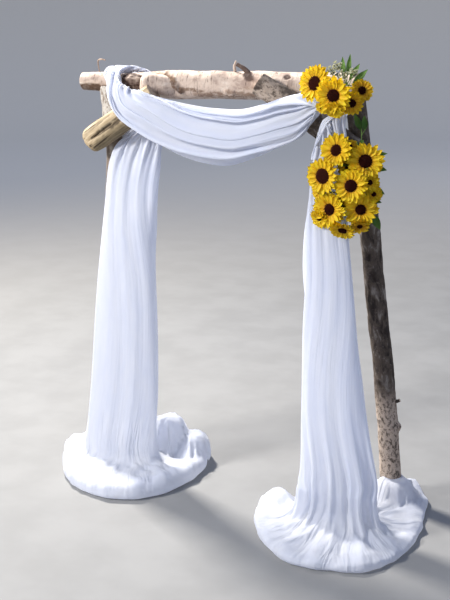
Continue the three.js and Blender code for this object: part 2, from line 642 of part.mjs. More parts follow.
const finishes = {
  bark_dark: { color: 0x6b5d52, roughness: 0.9, metalness: 0 },
  bark_pale: { color: 0xbfae9a, roughness: 0.85, metalness: 0 },
  split_wood: { color: 0xa08a66, roughness: 0.85, metalness: 0 },
  sheer_cloth: { color: 0xe9ecf6, roughness: 0.6, metalness: 0 },
  stem_green: { color: 0x4f6b34, roughness: 0.7, metalness: 0 },
  petal_yellow: { color: 0xf2b90f, roughness: 0.65, metalness: 0 },
  leaf_green: { color: 0x3f6a2c, roughness: 0.6, metalness: 0 },
  blossom_cream: { color: 0xf1eedd, roughness: 0.7, metalness: 0 },
  wire_green: { color: 0x3c4a34, roughness: 0.5, metalness: 0.4 },
};

const arch = new THREE.Group();
for (const [name, [finish, solid]] of Object.entries(nodes)) {
  const mesh = new THREE.Mesh(toGeometry(solid), new THREE.MeshStandardMaterial(finishes[finish]));
  mesh.name = name;
  arch.add(mesh);
}

export default arch;
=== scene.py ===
"""Looks of a rustic wedding arch: logs, a long sheer cloth and two sprays of sunflowers.

Metres, in the arch's own frame: +X from the left post to the right post, -Y the front, +Z up,
with the origin at the centre of the right post's foot. The routes and radii of the logs, the
cloth, the flowers and the stems repeat the solid model's, written in millimetres as they are
there.
"""
import itertools
import logging
import math
from dataclasses import dataclass, field
from enum import Enum
from typing import Any, Callable, Sequence

import bpy
import mathutils
import numpy as np
from mathutils import Matrix, Vector


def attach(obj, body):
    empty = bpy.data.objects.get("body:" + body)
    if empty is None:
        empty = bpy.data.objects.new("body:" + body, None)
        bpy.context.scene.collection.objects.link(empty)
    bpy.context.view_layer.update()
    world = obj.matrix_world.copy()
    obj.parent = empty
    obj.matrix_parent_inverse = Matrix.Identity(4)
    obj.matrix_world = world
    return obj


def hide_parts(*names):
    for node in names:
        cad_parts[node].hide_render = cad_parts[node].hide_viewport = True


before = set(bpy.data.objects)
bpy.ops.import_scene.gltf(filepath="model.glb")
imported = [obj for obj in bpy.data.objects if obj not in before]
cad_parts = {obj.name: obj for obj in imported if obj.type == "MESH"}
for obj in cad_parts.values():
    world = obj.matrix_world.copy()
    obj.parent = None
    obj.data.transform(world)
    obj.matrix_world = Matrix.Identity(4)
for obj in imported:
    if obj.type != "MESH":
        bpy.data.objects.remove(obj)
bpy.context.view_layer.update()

LOG = logging.getLogger("wedding_arch")
MM = 0.001
BODY = "root"
Colour = tuple[float, float, float]
Triple = tuple[float, float, float]
Array = np.ndarray
Material = bpy.types.Material
Piece = bpy.types.Object
Socket = bpy.types.NodeSocket
SOCKET_KINDS = {int: "NodeSocketInt", float: "NodeSocketFloat", Material: "NodeSocketMaterial"}


# Numbers: smooth lines, noise and blends

class Spline:
    """A smooth line through rows of numbers, with centripetal tangents."""

    def __init__(self, rows: Sequence[Sequence[float]]) -> None:
        """Keeps the rows with one more beyond each end.

        Args:
            rows: The points; columns past the third are carried along.
        """
        inner = np.array(rows, float)
        self.rows = np.vstack([2 * inner[0] - inner[1], inner, 2 * inner[-1] - inner[-2]])
        steps = np.linalg.norm(np.diff(self.rows[:, :3], axis=0), axis=1)
        self.spans = np.sqrt(np.maximum(steps, 1e-9))

    def at(self, t: Array) -> Array:
        """Points of the line.

        Args:
            t: Places from 0 to 1, evenly shared among the rows.

        Returns:
            One row of numbers for each place.
        """
        place = np.clip(t, 0, 1) * (len(self.rows) - 3)
        left = np.minimum(place.astype(int), len(self.rows) - 4)
        w = (place - left)[:, None]
        p0, p1, p2, p3 = (self.rows[left + k] for k in range(4))
        d0, d1, d2 = (self.spans[left + k][:, None] for k in range(3))
        m1 = ((p1 - p0) / d0 - (p2 - p0) / (d0 + d1) + (p2 - p1) / d1) * d1
        m2 = ((p2 - p1) / d1 - (p3 - p1) / (d1 + d2) + (p3 - p2) / d2) * d1
        w2, w3 = w * w, w * w * w
        return (p1 * (2 * w3 - 3 * w2 + 1) + m1 * (w3 - 2 * w2 + w)
                + p2 * (3 * w2 - 2 * w3) + m2 * (w3 - w2))

    def length(self, t: Array) -> float:
        """The line's length, measured through its points at t."""
        return float(np.linalg.norm(np.diff(self.at(t)[:, :3], axis=0), axis=1).sum())

    def heading(self, t: Array, reach: float = 1e-3) -> Array:
        """Which way the line runs at t, from points that lie reach before and after."""
        return unit(self.at(t + reach)[:, :3] - self.at(t - reach)[:, :3])

    def evenly(self, count: int, oversample: int = 2000) -> Array:
        """Places from 0 to 1 that lie evenly along the line's length.

        Args:
            count: Number of places.
            oversample: Points that the length is measured with.

        Returns:
            The places.
        """
        t = np.linspace(0, 1, oversample)
        steps = np.linalg.norm(np.diff(self.at(t)[:, :3], axis=0), axis=1)
        run = np.concatenate([[0], np.cumsum(steps)])
        return np.interp(np.linspace(0, run[-1], count), run, t)


class Lattice:
    """Smooth noise between -1 and 1 from a seeded lattice of random numbers."""

    SIZE = 32

    def __init__(self, seed: int) -> None:
        """Draws the lattice's numbers from the seed."""
        self.values = np.random.default_rng(seed).uniform(-1, 1, (self.SIZE,) * 3)

    def at(self, points: Array, size: float | Triple) -> Array:
        """Noise at points.

        Args:
            points: Rows of two or three numbers.
            size: Distance between the lattice's numbers, one or one for each axis.

        Returns:
            One number for each point.
        """
        wide = np.zeros((len(points), 3))
        wide[:, :points.shape[1]] = points
        wide = wide / np.broadcast_to(np.array(size, float), 3)
        base = np.floor(wide).astype(int)
        share = wide - base
        share = share * share * (3 - 2 * share)
        total = np.zeros(len(points))
        for corner in itertools.product((0, 1), repeat=3):
            weight = np.prod(np.where(corner, share, 1 - share), axis=1)
            x, y, z = ((base + corner) % self.SIZE).T
            total += weight * self.values[x, y, z]
        return total

    def layered(self, points: Array, size: float | Triple, layers: int = 3) -> Array:
        """Noise with finer layers of half the size and half the height added."""
        scale = np.broadcast_to(np.array(size, float), 3)
        return sum(self.at(points + 7.3 * k * scale, tuple(scale / 2**k)) / 2**k for k in range(layers))


def smooth(low: float, high: float, value: Array) -> Array:
    """A smooth step from 0 at low to 1 at high."""
    t = np.clip((value - low) / (high - low), 0, 1)
    return t * t * (3 - 2 * t)


def unit(vectors: Array) -> Array:
    """The vectors at length 1."""
    return vectors / np.maximum(np.linalg.norm(vectors, axis=-1, keepdims=True), 1e-12)


# Meshes

@dataclass
class Shape:
    """Vertices and faces, with the maps that its material reads."""

    vertices: Array
    faces: list[tuple[int, ...]]
    numbers: dict[str, Array] = field(default_factory=dict)
    vectors: dict[str, Array] = field(default_factory=dict)
    material_index: list[int] | None = None

    def moved(self, matrix: Matrix) -> "Shape":
        """The shape turned and moved by a matrix.

        Args:
            matrix: The turn and the move.

        Returns:
            The new shape, with the same faces and maps.
        """
        turn = np.array(matrix)[:3, :3]
        place = np.array(matrix)[:3, 3]
        return Shape(self.vertices @ turn.T + place, self.faces, self.numbers, self.vectors,
                     self.material_index)


def merged(shapes: Sequence[Shape]) -> Shape:
    """One shape of several that carry the same maps.

    Args:
        shapes: The shapes to join.

    Returns:
        The joined shape.
    """
    faces: list[tuple[int, ...]] = []
    start = 0
    for shape in shapes:
        faces += [tuple(i + start for i in face) for face in shape.faces]
        start += len(shape.vertices)
    numbers = {k: np.concatenate([s.numbers[k] for s in shapes]) for k in shapes[0].numbers}
    vectors = {k: np.concatenate([s.vectors[k] for s in shapes]) for k in shapes[0].vectors}
    return Shape(np.concatenate([s.vertices for s in shapes]), faces, numbers, vectors)


def slotted(parts: Sequence[tuple[Shape, int]]) -> Shape:
    """One shape of several, each with the number of its material slot.

    Args:
        parts: Shapes with the same maps, and the slot of each.

    Returns:
        The joined shape.
    """
    whole = merged([shape for shape, _ in parts])
    whole.material_index = [slot for shape, slot in parts for _ in shape.faces]
    return whole


def grid_faces(rows: int, columns: int, closed: bool, start: int = 0) -> list[tuple[int, ...]]:
    """Quads between rows of vertices.

    Args:
        rows: Number of rows.
        columns: Vertices in a row.
        closed: Whether a row's last vertex joins its first.
        start: Index of the first vertex.

    Returns:
        The quads, each with its normal along row step x column step.
    """
    across = columns if closed else columns - 1
    faces = []
    for r in range(rows - 1):
        for c in range(across):
            a = start + r * columns + c
            b = start + r * columns + (c + 1) % columns
            faces.append((a, a + columns, b + columns, b))
    return faces


def make_object(name: str, shape: Shape, materials: Sequence[Material]) -> Piece:
    """A mesh object at the origin, shaded smooth.

    Args:
        name: Name of the object and its mesh.
        shape: Its vertices, faces and maps.
        materials: One for each slot.

    Returns:
        The object, linked to the scene.
    """
    mesh = bpy.data.meshes.new(name)
    mesh.from_pydata(shape.vertices.tolist(), [], shape.faces)
    for key, values in shape.numbers.items():
        mesh.attributes.new(key, "FLOAT", "POINT").data.foreach_set("value", values.astype(np.float32))
    for key, values in shape.vectors.items():
        mesh.attributes.new(key, "FLOAT_VECTOR", "POINT").data.foreach_set(
            "vector", values.astype(np.float32).ravel())
    for material in materials:
        mesh.materials.append(material)
    if shape.material_index is not None:
        mesh.polygons.foreach_set("material_index", shape.material_index)
    mesh.polygons.foreach_set("use_smooth", [True] * len(mesh.polygons))
    made = bpy.data.objects.new(name, mesh)
    bpy.context.scene.collection.objects.link(made)
    return made


def finish_piece(piece: Piece, slot: str, *nodes: str) -> Piece:
    """Puts a piece on the arch's one body and hides the solid nodes that it stands for.

    Args:
        piece: The finished piece.
        slot: The record's material slot; not used.
        nodes: The solid model's nodes that it stands for.

    Returns:
        The piece.
    """
    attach(piece, BODY)
    if nodes:
        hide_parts(*nodes)
    LOG.info("%s: %d faces", piece.name, len(piece.data.polygons))
    return piece


# Node trees

class Graph:
    """A node tree, with short calls that add nodes and link them."""

    def __init__(self, tree: bpy.types.NodeTree) -> None:
        """Keeps the tree."""
        self.tree = tree

    def add(self, kind: str, inputs: dict[int | str, Any] | None = None, **settings: Any) -> bpy.types.Node:
        """Adds a node.

        Args:
            kind: The node's type name.
            inputs: Socket name or number to a value or to the socket that feeds it.
            settings: Properties of the node.

        Returns:
            The node.
        """
        node = self.tree.nodes.new(kind)
        for key, value in settings.items():
            setattr(node, key, value)
        for key, value in (inputs or {}).items():
            if isinstance(value, Socket):
                self.tree.links.new(value, node.inputs[key])
            else:
                node.inputs[key].default_value = value
        return node

    def math(self, operation: str, *values: Any) -> Socket:
        """Adds a Math node and returns its result."""
        return self.add("ShaderNodeMath", dict(enumerate(values)), operation=operation).outputs[0]

    def plus(self, first: Any, second: Any) -> Socket:
        """The sum of two values."""
        return self.math("ADD", first, second)

    def less(self, first: Any, second: Any) -> Socket:
        """The first value less the second."""
        return self.math("SUBTRACT", first, second)

    def times(self, first: Any, second: Any) -> Socket:
        """The product of two values."""
        return self.math("MULTIPLY", first, second)

    def scaled(self, vector: Socket, scale: Triple) -> Socket:
        """A vector with its axes stretched by scale."""
        return self.add("ShaderNodeVectorMath", {0: vector, 1: scale}, operation="MULTIPLY").outputs[0]

    def noise(self, vector: Socket, scale: float, detail: float = 3.0,
              roughness: float = 0.55, distortion: float = 0.0) -> Socket:
        """Adds a Noise Texture.

        Args:
            vector: Where it is read.
            scale: Waves for each unit of the vector.
            detail: Number of finer layers.
            roughness: How strong the finer layers are.
            distortion: How far they bend one another.

        Returns:
            The noise's factor.
        """
        inputs = {"Vector": vector, "Scale": scale, "Detail": detail, "Roughness": roughness,
                  "Distortion": distortion}
        return self.add("ShaderNodeTexNoise", inputs).outputs[0]

    def step(self, value: Socket, low: float, high: float, start: float = 0.0, end: float = 1.0) -> Socket:
        """A value mapped smoothly from low..high to start..end."""
        inputs = {0: value, 1: low, 2: high, 3: start, 4: end}
        return self.add("ShaderNodeMapRange", inputs, interpolation_type="SMOOTHSTEP").outputs[0]

    def blend(self, share: Any, first: Any, second: Any, mode: str = "MIX") -> Socket:
        """Mixes two colours.

        Args:
            share: Share of the second colour.
            first: A colour or a socket.
            second: A colour or a socket.
            mode: How the second is laid on the first.

        Returns:
            The mixed colour.
        """
        first, second = ((*each, 1.0) if isinstance(each, tuple) else each for each in (first, second))
        inputs = {0: share, 6: first, 7: second}
        return self.add("ShaderNodeMix", inputs, data_type="RGBA", blend_type=mode).outputs[2]

    def map(self, name: str, output: str = "Fac") -> Socket:
        """One of the mesh's maps, as a number or as a vector."""
        return self.add("ShaderNodeAttribute", attribute_name=name).outputs[output]

    def place(self) -> Socket:
        """The place on the object."""
        return self.add("ShaderNodeTexCoord").outputs["Object"]

    def bump(self, height: Socket, distance: float, strength: float = 1.0,
             normal: Socket | None = None) -> Socket:
        """Adds a Bump node.

        Args:
            height: The relief's height.
            distance: Its depth in metres.
            strength: How much of it shows.
            normal: Normal of another relief below it.

        Returns:
            The bent normal.
        """
        inputs: dict[int | str, Any] = {"Height": height, "Distance": distance, "Strength": strength}
        if normal is not None:
            inputs["Normal"] = normal
        return self.add("ShaderNodeBump", inputs).outputs[0]


def surface(name: str, dress: Callable[[Graph], dict[str, Any]]) -> Material:
    """A material of one Principled shader.

    Args:
        name: Name of the material.
        dress: Adds the pattern's nodes and returns the shader's inputs.

    Returns:
        The material.
    """
    material = bpy.data.materials.new(name)
    material.use_nodes = True
    graph = Graph(material.node_tree)
    shader = graph.tree.nodes["Principled BSDF"]
    for key, value in dress(graph).items():
        if isinstance(value, Socket):
            graph.tree.links.new(value, shader.inputs[key])
        else:
            shader.inputs[key].default_value = value
    return material


def lit_through(name: str, dress: Callable[[Graph], dict[str, Any]], glow: float,
                colour: Colour) -> Material:
    """A material of a Principled shader mixed with a Translucent one.

    Args:
        name: Name of the material.
        dress: Adds the pattern's nodes and returns the Principled shader's inputs.
        glow: Share of the light that passes through and scatters.
        colour: Colour of that light.

    Returns:
        The material.
    """
    made = surface(name, dress)
    g = Graph(made.node_tree)
    through = g.add("ShaderNodeBsdfTranslucent", {"Color": (*colour, 1)}).outputs[0]
    shader = g.tree.nodes["Principled BSDF"].outputs[0]
    mix = g.add("ShaderNodeMixShader", {0: glow, 1: shader, 2: through})
    g.tree.links.new(mix.outputs[0], g.tree.nodes["Material Output"].inputs[0])
    return made


def grown(source: Piece, key: str, inputs: dict[str, Any], build: Callable[[Graph, Any], Socket]) -> None:
    """Runs a tree of geometry nodes on an object and keeps what it makes as the plain mesh.

    Args:
        source: The object that the tree works on.
        key: Name of the tree, which is built on its first use.
        inputs: The tree's named inputs, the last one its material, with their values.
        build: Adds the tree's own nodes, given its inputs, and returns the geometry.
    """
    tree = bpy.data.node_groups.get(key)
    if tree is None:
        tree = bpy.data.node_groups.new(key, "GeometryNodeTree")
        tree.is_modifier = True
        tree.interface.new_socket("Geometry", in_out="INPUT", socket_type="NodeSocketGeometry")
        for name, value in inputs.items():
            tree.interface.new_socket(name, in_out="INPUT", socket_type=SOCKET_KINDS[type(value)])
        tree.interface.new_socket("Geometry", in_out="OUTPUT", socket_type="NodeSocketGeometry")
        g = Graph(tree)
        given = g.add("NodeGroupInput").outputs
        real = g.add("GeometryNodeRealizeInstances", {0: build(g, given)}).outputs[0]
        dressed = g.add("GeometryNodeSetMaterial", {"Geometry": real, "Material": given["Material"]})
        g.add("NodeGroupOutput", {0: dressed.outputs[0]})
    modifier = source.modifiers.new(key, "NODES")
    modifier.node_group = tree
    sockets = [item for item in tree.interface.items_tree if item.in_out == "INPUT"][1:]
    for socket, value in zip(sockets, inputs.values()):
        modifier[socket.identifier] = value
    graph = bpy.context.evaluated_depsgraph_get()
    graph.update()
    mesh = bpy.data.meshes.new_from_object(source.evaluated_get(graph), depsgraph=graph)
    source.modifiers.clear()
    old = source.data
    source.data = mesh
    bpy.data.meshes.remove(old)
    mesh.name = source.name


# Finishes

@dataclass(frozen=True)
class BarkFinish:
    """Bark of a log, read from its maps: "log" follows the log, "stain" lies on it, and a third lays the
    patch colour: wood without bark in some places, painted shade under the pale crossbar and painted light at
    the dark post's foot.
    """

    name: str
    dark: Colour
    middle: Colour
    light: Colour
    stain: Colour
    # patch colour: wood without bark, and also painted shade under the pale crossbar and painted light at the
    # dark post's foot
    bare: Colour
    along: float  # how much longer the mottling is along the log than round it
    mottle: float  # noise scale of the mottling
    flecks: float  # share of light flecks
    lenticels: float  # strength of the short dark streaks that run round the log
    roughness: float = 0.85

    def material(self) -> Material:
        """The bark's material."""
        return surface(self.name, self.dress)

    def dress(self, g: Graph) -> dict[str, Any]:
        """Adds the bark's pattern.

        Args:
            g: The material's tree.

        Returns:
            The shader's inputs.
        """
        log = g.map("log", "Vector")
        lengthwise = g.scaled(log, (1, 1, self.along))
        mottle = g.noise(lengthwise, self.mottle, 6, 0.62, 0.4)
        fine = g.noise(lengthwise, self.mottle * 5, 5, 0.6)
        colour = g.blend(g.step(mottle, 0.36, 0.52), self.dark, self.middle)
        colour = g.blend(g.step(mottle, 0.52, 0.68), colour, self.light)
        colour = g.blend(g.step(fine, 0.35, 0.7, 0.25, 0.0), colour, self.dark)
        blotch = g.noise(log, self.mottle * 1.7, 4, 0.7, 1.2)
        fleck = g.step(blotch, 0.66 - 0.2 * self.flecks, 0.72 - 0.16 * self.flecks)
        colour = g.blend(g.times(fleck, self.flecks), colour, self.light)
        # the patch colour, laid where the map says: wood without bark, painted shade under the pale crossbar
        # and painted light at the dark post's foot
        bare = g.map("bare")
        patches = g.noise(g.scaled(log, (1, 1, 0.7)), self.mottle * 2.4, 5, 0.68, 0.2)
        bare_and_shading_colour = g.blend(g.step(patches, 0.46, 0.62), self.bare, self.middle)
        colour = g.blend(bare, colour, bare_and_shading_colour)
        streaks = g.noise(g.scaled(log, (0.3, 0.3, 3.4)), 60, 3, 0.5)
        streak = g.times(g.step(streaks, 0.60, 0.70), self.lenticels)
        colour = g.blend(streak, colour, self.stain)
        stain = g.map("stain")
        colour = g.blend(g.times(stain, g.step(fine, 0.2, 0.55, 0.7, 1.0)), colour, self.stain)
        relief = g.plus(g.times(mottle, 0.6), g.times(fine, 0.4))
        relief = g.less(relief, g.times(streak, 0.4))
        return {
            "Base Color": colour,
            "Roughness": g.step(fine, 0.3, 0.7, self.roughness - 0.1, self.roughness + 0.08),
            "Specular IOR Level": 0.3,
            "Normal": g.bump(relief, 0.004, 0.7),
        }


@dataclass(frozen=True)
class TimberFinish:
    """Bare wood: a split face with grain along the log, or a sawn end with rings, painted darker where the
    brace's lower face lies in shade.
    """

    name: str
    pale: Colour
    dark: Colour
    # painted shade: colour of the split brace's lower face, which lies in shade
    shade: Colour  # where the "bare" map is 1
    crack: Colour  # also where the "stain" map is 1
    rings: bool

    def material(self) -> Material:
        """The timber's material."""
        return surface(self.name, self.dress)

    def dress(self, g: Graph) -> dict[str, Any]:
        """Adds the grain or the rings.

        Args:
            g: The material's tree.

        Returns:
            The shader's inputs.
        """
        log = g.map("log", "Vector")
        grain = g.noise(g.scaled(log, (1, 1, 0.06)), 160, 6, 0.6, 0.3)
        if self.rings:
            split = g.add("ShaderNodeSeparateXYZ", {0: log})
            x, y = split.outputs[:2]
            square = g.plus(g.math("POWER", x, 2.0), g.math("POWER", y, 2.0))
            radius = g.math("SQRT", square)
            wander = g.times(g.noise(log, 18, 3), 0.02)
            rings = g.math("SINE", g.times(g.plus(radius, wander), 1500.0))
            pattern = g.step(rings, -0.8, 1.0)
            angle = g.math("ARCTAN2", y, x)
            fan = g.add("ShaderNodeCombineXYZ", {0: g.times(angle, 2.2), 1: g.times(radius, 4.0)})
            cracks = g.step(g.noise(fan.outputs[0], 3.1, 4, 0.6), 0.60, 0.66)
        else:
            pattern = g.step(grain, 0.3, 0.7)
            cracks = g.step(g.noise(g.scaled(log, (1, 1, 0.05)), 55, 3, 0.5, 0.4), 0.61, 0.66)
        colour = g.blend(pattern, self.dark, self.pale)
        # painted shade on the brace's lower face, where the patch map is 1
        shade = g.times(g.map("bare"), g.step(grain, 0.2, 0.7, 1.0, 0.75))
        colour = g.blend(shade, colour, self.shade)
        weather = g.step(g.noise(log, 22, 4, 0.6), 0.35, 0.7)
        colour = g.blend(g.times(weather, 0.45), colour, self.dark)
        cracks = g.math("MAXIMUM", cracks, g.map("stain"))
        colour = g.blend(g.times(cracks, 0.85), colour, self.crack)
        relief = g.less(g.times(grain, 0.5), cracks)
        return {
            "Base Color": colour,
            "Roughness": 0.8,
            "Specular IOR Level": 0.3,
            "Normal": g.bump(relief, 0.002, 0.8),
        }


@dataclass(frozen=True)
class ChiffonFinish:
    """Sheer white chiffon, with a fine crepe weave and soft creases along its length, tinted blue-lilac as
    painted sky shade and painted darker in the hollows of its soft folds.
    """

    name: str = "chiffon_white"
    # painted shade: the white cloth's colour is tinted blue-lilac, as it looks in blue sky shade
    colour: Colour = (0.87, 0.895, 0.965)
    # painted shade, laid in the hollows of the soft folds
    shade: Colour = (0.80, 0.84, 0.95)
    opacity: float = 0.93
    glow: float = 0.40  # share of the light that passes through and scatters

    def material(self) -> Material:
        """The cloth's material."""
        return lit_through(self.name, self.dress, self.glow, self.colour)

    def dress(self, g: Graph) -> dict[str, Any]:
        """Adds the weave, the creases and painted shade in the hollows of the soft folds.

        Args:
            g: The material's tree.

        Returns:
            The shader's inputs.
        """
        weft = g.map("cloth", "Vector")
        spread = g.add("ShaderNodeSeparateXYZ", {0: weft}).outputs[2]
        creases = g.noise(g.scaled(weft, (1.2, 30, 0)), 1.0, 5, 0.62, 0.25)
        soft = g.noise(g.scaled(weft, (5, 14, 0)), 1.0, 3, 0.5, 0.4)
        crepe = g.noise(g.scaled(weft, (420, 700, 0)), 1.0, 2)
        # painted shade: the hollows of the soft folds, whose bump reads the same noise, take the darker shade
        # colour
        tint = g.blend(g.step(soft, 0.3, 0.7, 0.0, 1.0), self.shade, self.colour)
        pressed = g.noise(g.scaled(weft, (1.6, 22, 0)), 1.0, 3, 0.5, 0.6)
        pressed = g.math("ABSOLUTE", g.less(pressed, 0.5))
        pressed = g.times(pressed, g.plus(g.times(spread, -1.6), -0.4))
        first = g.bump(creases, 0.010, 0.5)
        second = g.bump(pressed, 0.014, 0.8, g.bump(soft, 0.006, 0.4, first))
        return {
            "Base Color": tint,
            "Roughness": 0.62,
            "Specular IOR Level": 0.25,
            "Sheen Weight": 0.35,
            "Sheen Roughness": 0.4,
            "Alpha": self.opacity,
            "Normal": g.bump(crepe, 0.0004, 0.35, second),
        }


# Logs

@dataclass(frozen=True)
class Knot:
    """A swelling of a log, where a branch grew out."""

    t: float  # place along the log, from 0 to 1
    angle: float  # place round it, in radians
    height: float  # millimetres
    width: float  # millimetres
    stain: float = 0.0


@dataclass(frozen=True)
class Mark:
    """A ragged scar, ridge, stain, or patch of painted light and shade on the front of a log, placed in the
    arch's plane, in millimetres.
    """

    x: float
    z: float
    long: float  # half its length and half its width
    short: float
    turn: float = 0.0  # degrees from +X towards +Z
    lift: float = 0.0
    stain: float = 0.0
    # share of the patch colour, which some marks use for painted light and shade
    bare: float = 0.0

    def cover(self, points: Array, outward: Array, noise: Lattice) -> Array:
        """How far the mark covers each point of a log.

        Args:
            points: Points in millimetres.
            outward: Which way the surface faces there.
            noise: Makes the mark's edge ragged.

        Returns:
            One number from 0 to 1 for each point.
        """
        turn = math.radians(self.turn)
        x, z = points[:, 0] - self.x, points[:, 2] - self.z
        along = (x * math.cos(turn) + z * math.sin(turn)) / self.long
        over = (z * math.cos(turn) - x * math.sin(turn)) / self.short
        away = np.hypot(along, over) + 0.22 * noise.layered(points, 14, 2)
        return smooth(1.15, 0.7, away) * smooth(0.35, -0.05, outward[:, 1])


class Texture(Enum):
    """How a log's surface is shaped below the size of its knots."""

    ROUGH = "rough ridged bark"
    GNARLED = "torn and twisted wood"
    PALE = "smooth pale bark"
    SPLIT = "split timber"


KNOT_SPAN = 50.0  # millimetres; a knot's turn round the log is measured at this radius


@dataclass
class LogShape:
    """A log along rows of x, y, z, radius across and radius in depth, in millimetres."""

    rows: Sequence[Sequence[float]]
    phase: float
    texture: Texture
    knots: Sequence[Knot] = ()
    marks: Sequence[Mark] = ()
    seed: int = 1
    squareness: float = 2.0  # 2 is round, more is squarer
    ring_step: float = 5.0  # millimetres between rings
    side_step: float = 5.0  # millimetres round the log
    end_rings: int = 5
    foot_on_ground: bool = False

    def shape(self) -> Shape:
        """The log's skin and its two sawn ends.

        Returns:
            The closed shape; its "log" map has x and y round the log and z along it.
        """
        rows = np.array(self.rows, float)
        line = Spline(rows)
        length = line.length(line.evenly(200))
        rings = max(int(length / self.ring_step), 4)
        sides = max(int(2 * math.pi * rows[:, 3].max() / self.side_step), 10)
        t = line.evenly(rings + 1)
        points = line.at(t)
        centre = points[:, :3]
        tangent = line.heading(t, 1e-4)
        across = unit(np.cross([0.0, 1.0, 0.0], tangent))
        depth = np.cross(tangent, across)
        angle = np.linspace(0, 2 * math.pi, sides, endpoint=False)
        tt, aa = (g.ravel() for g in np.meshgrid(t, angle, indexing="ij"))
        scale = 1 + 0.025 * np.sin(3 * aa + 7 * tt + self.phase) + 0.02 * np.sin(2 * aa - 11 * tt)
        stain = np.zeros(len(tt))
        for knot in self.knots:
            turn = np.angle(np.exp(1j * (aa - knot.angle)))
            away = ((tt - knot.t) * length / knot.width) ** 2 + (turn * KNOT_SPAN / knot.width) ** 2
            scale += knot.height / KNOT_SPAN * np.exp(-away)
            stain = np.maximum(stain, knot.stain * np.exp(-1.6 * away))
        wide = np.repeat(points[:, 3], sides) * scale
        deep = np.repeat(points[:, 4], sides) * scale
        square = (np.abs(np.cos(aa)) ** self.squareness + np.abs(np.sin(aa)) ** self.squareness) ** (
            -1 / self.squareness)
        round_x, round_y = np.cos(aa) * wide * square, np.sin(aa) * deep * square
        run = np.repeat(np.linspace(0, length, rings + 1), sides)
        log_map = np.column_stack([round_x, round_y, run]) * MM
        arm = (np.repeat(across, sides, axis=0) * round_x[:, None]
               + np.repeat(depth, sides, axis=0) * round_y[:, None])
        skin = np.repeat(centre, sides, axis=0) + arm
        outward = unit(arm)
        lift = self.relief(log_map) / MM
        # share of the patch colour from the marks: wood without bark, and painted light and shade
        bare = np.zeros(len(skin))
        for mark in self.marks:
            cover = mark.cover(skin, outward, Lattice(self.seed + 1))
            lift = lift + mark.lift * cover
            stain = np.maximum(stain, mark.stain * cover)
            bare = np.maximum(bare, mark.bare * cover)
        skin = (skin + outward * lift[:, None]) * MM
        made = Shape(skin, grid_faces(rings + 1, sides, True),
                     {"stain": stain, "bare": bare, "end": np.zeros(len(skin))}, {"log": log_map})
        made.faces = [face[::-1] for face in made.faces]
        self.close_end(made, 0, sides, centre[0] * MM, True)
        self.close_end(made, rings * sides, sides, centre[-1] * MM, False)
        if self.foot_on_ground:
            made.vertices[:, 2] = np.maximum(made.vertices[:, 2], 0.0)
        return made

    def close_end(self, made: Shape, start: int, sides: int, centre: Array, first: bool) -> None:
        """Closes an end with rings of vertices towards its middle.

        Args:
            made: The shape to close.
            start: Index of the end ring's first vertex.
            sides: Vertices in the ring.
            centre: Middle of the end, in metres.
            first: Whether this is the log's first end.
        """
        rim = made.vertices[start:start + sides]
        rim_map = made.vectors["log"][start:start + sides]
        middle_map = rim_map.mean(axis=0)
        before = start
        for k in range(1, self.end_rings + 1):
            share = 1 - k / (self.end_rings + 1)
            ring = centre + (rim - centre) * share
            count = len(made.vertices)
            made.vertices = np.vstack([made.vertices, ring])
            self.extend_maps(made, middle_map + (rim_map - middle_map) * share, sides)
            for c in range(sides):
                d = (c + 1) % sides
                quad = (before + c, before + d, count + d, count + c)
                made.faces.append(quad if not first else quad[::-1])
            before = count
        made.vertices = np.vstack([made.vertices, centre[None]])
        self.extend_maps(made, middle_map[None], 1)
        tip = len(made.vertices) - 1
        for c in range(sides):
            triangle = (before + c, before + (c + 1) % sides, tip)
            made.faces.append(triangle if not first else triangle[::-1])

    @staticmethod
    def extend_maps(made: Shape, log_map: Array, count: int) -> None:
        """Adds map values for new vertices of an end.

        Args:
            made: The log.
            log_map: Their "log" values.
            count: Number of vertices.
        """
        made.vectors["log"] = np.vstack([made.vectors["log"], log_map])
        for key, value in (("stain", 0.0), ("bare", 0.0), ("end", 1.0)):
            made.numbers[key] = np.append(made.numbers[key], np.full(count, value))

    def relief(self, log_map: Array) -> Array:
        """Height of the surface over the plain log, in metres.

        Args:
            log_map: Points on the log, x and y round it and z along it.

        Returns:
            One height for each point.
        """
        noise = Lattice(self.seed)
        lumps = noise.layered(log_map, (0.05, 0.05, 0.09), 2) * 0.0015
        if self.texture is Texture.ROUGH:
            ridges = 1 - np.abs(noise.layered(log_map, (0.014, 0.014, 0.07), 3))
            plates = noise.layered(log_map, (0.02, 0.02, 0.03), 3)
            return lumps + 0.0030 * (ridges - 0.7) + 0.0012 * plates
        if self.texture is Texture.GNARLED:
            return lumps + 0.005 * noise.layered(log_map, (0.016, 0.016, 0.05), 3)
        if self.texture is Texture.SPLIT:
            grain = noise.layered(log_map, (0.012, 0.012, 0.4), 3)
            cracks = smooth(0.55, 0.8, noise.at(log_map, (0.017, 0.017, 0.5)))
            return lumps + 0.0012 * grain - 0.006 * cracks
        rings = noise.layered(log_map, (0.06, 0.06, 0.012), 2)
        return lumps + 0.0007 * rings


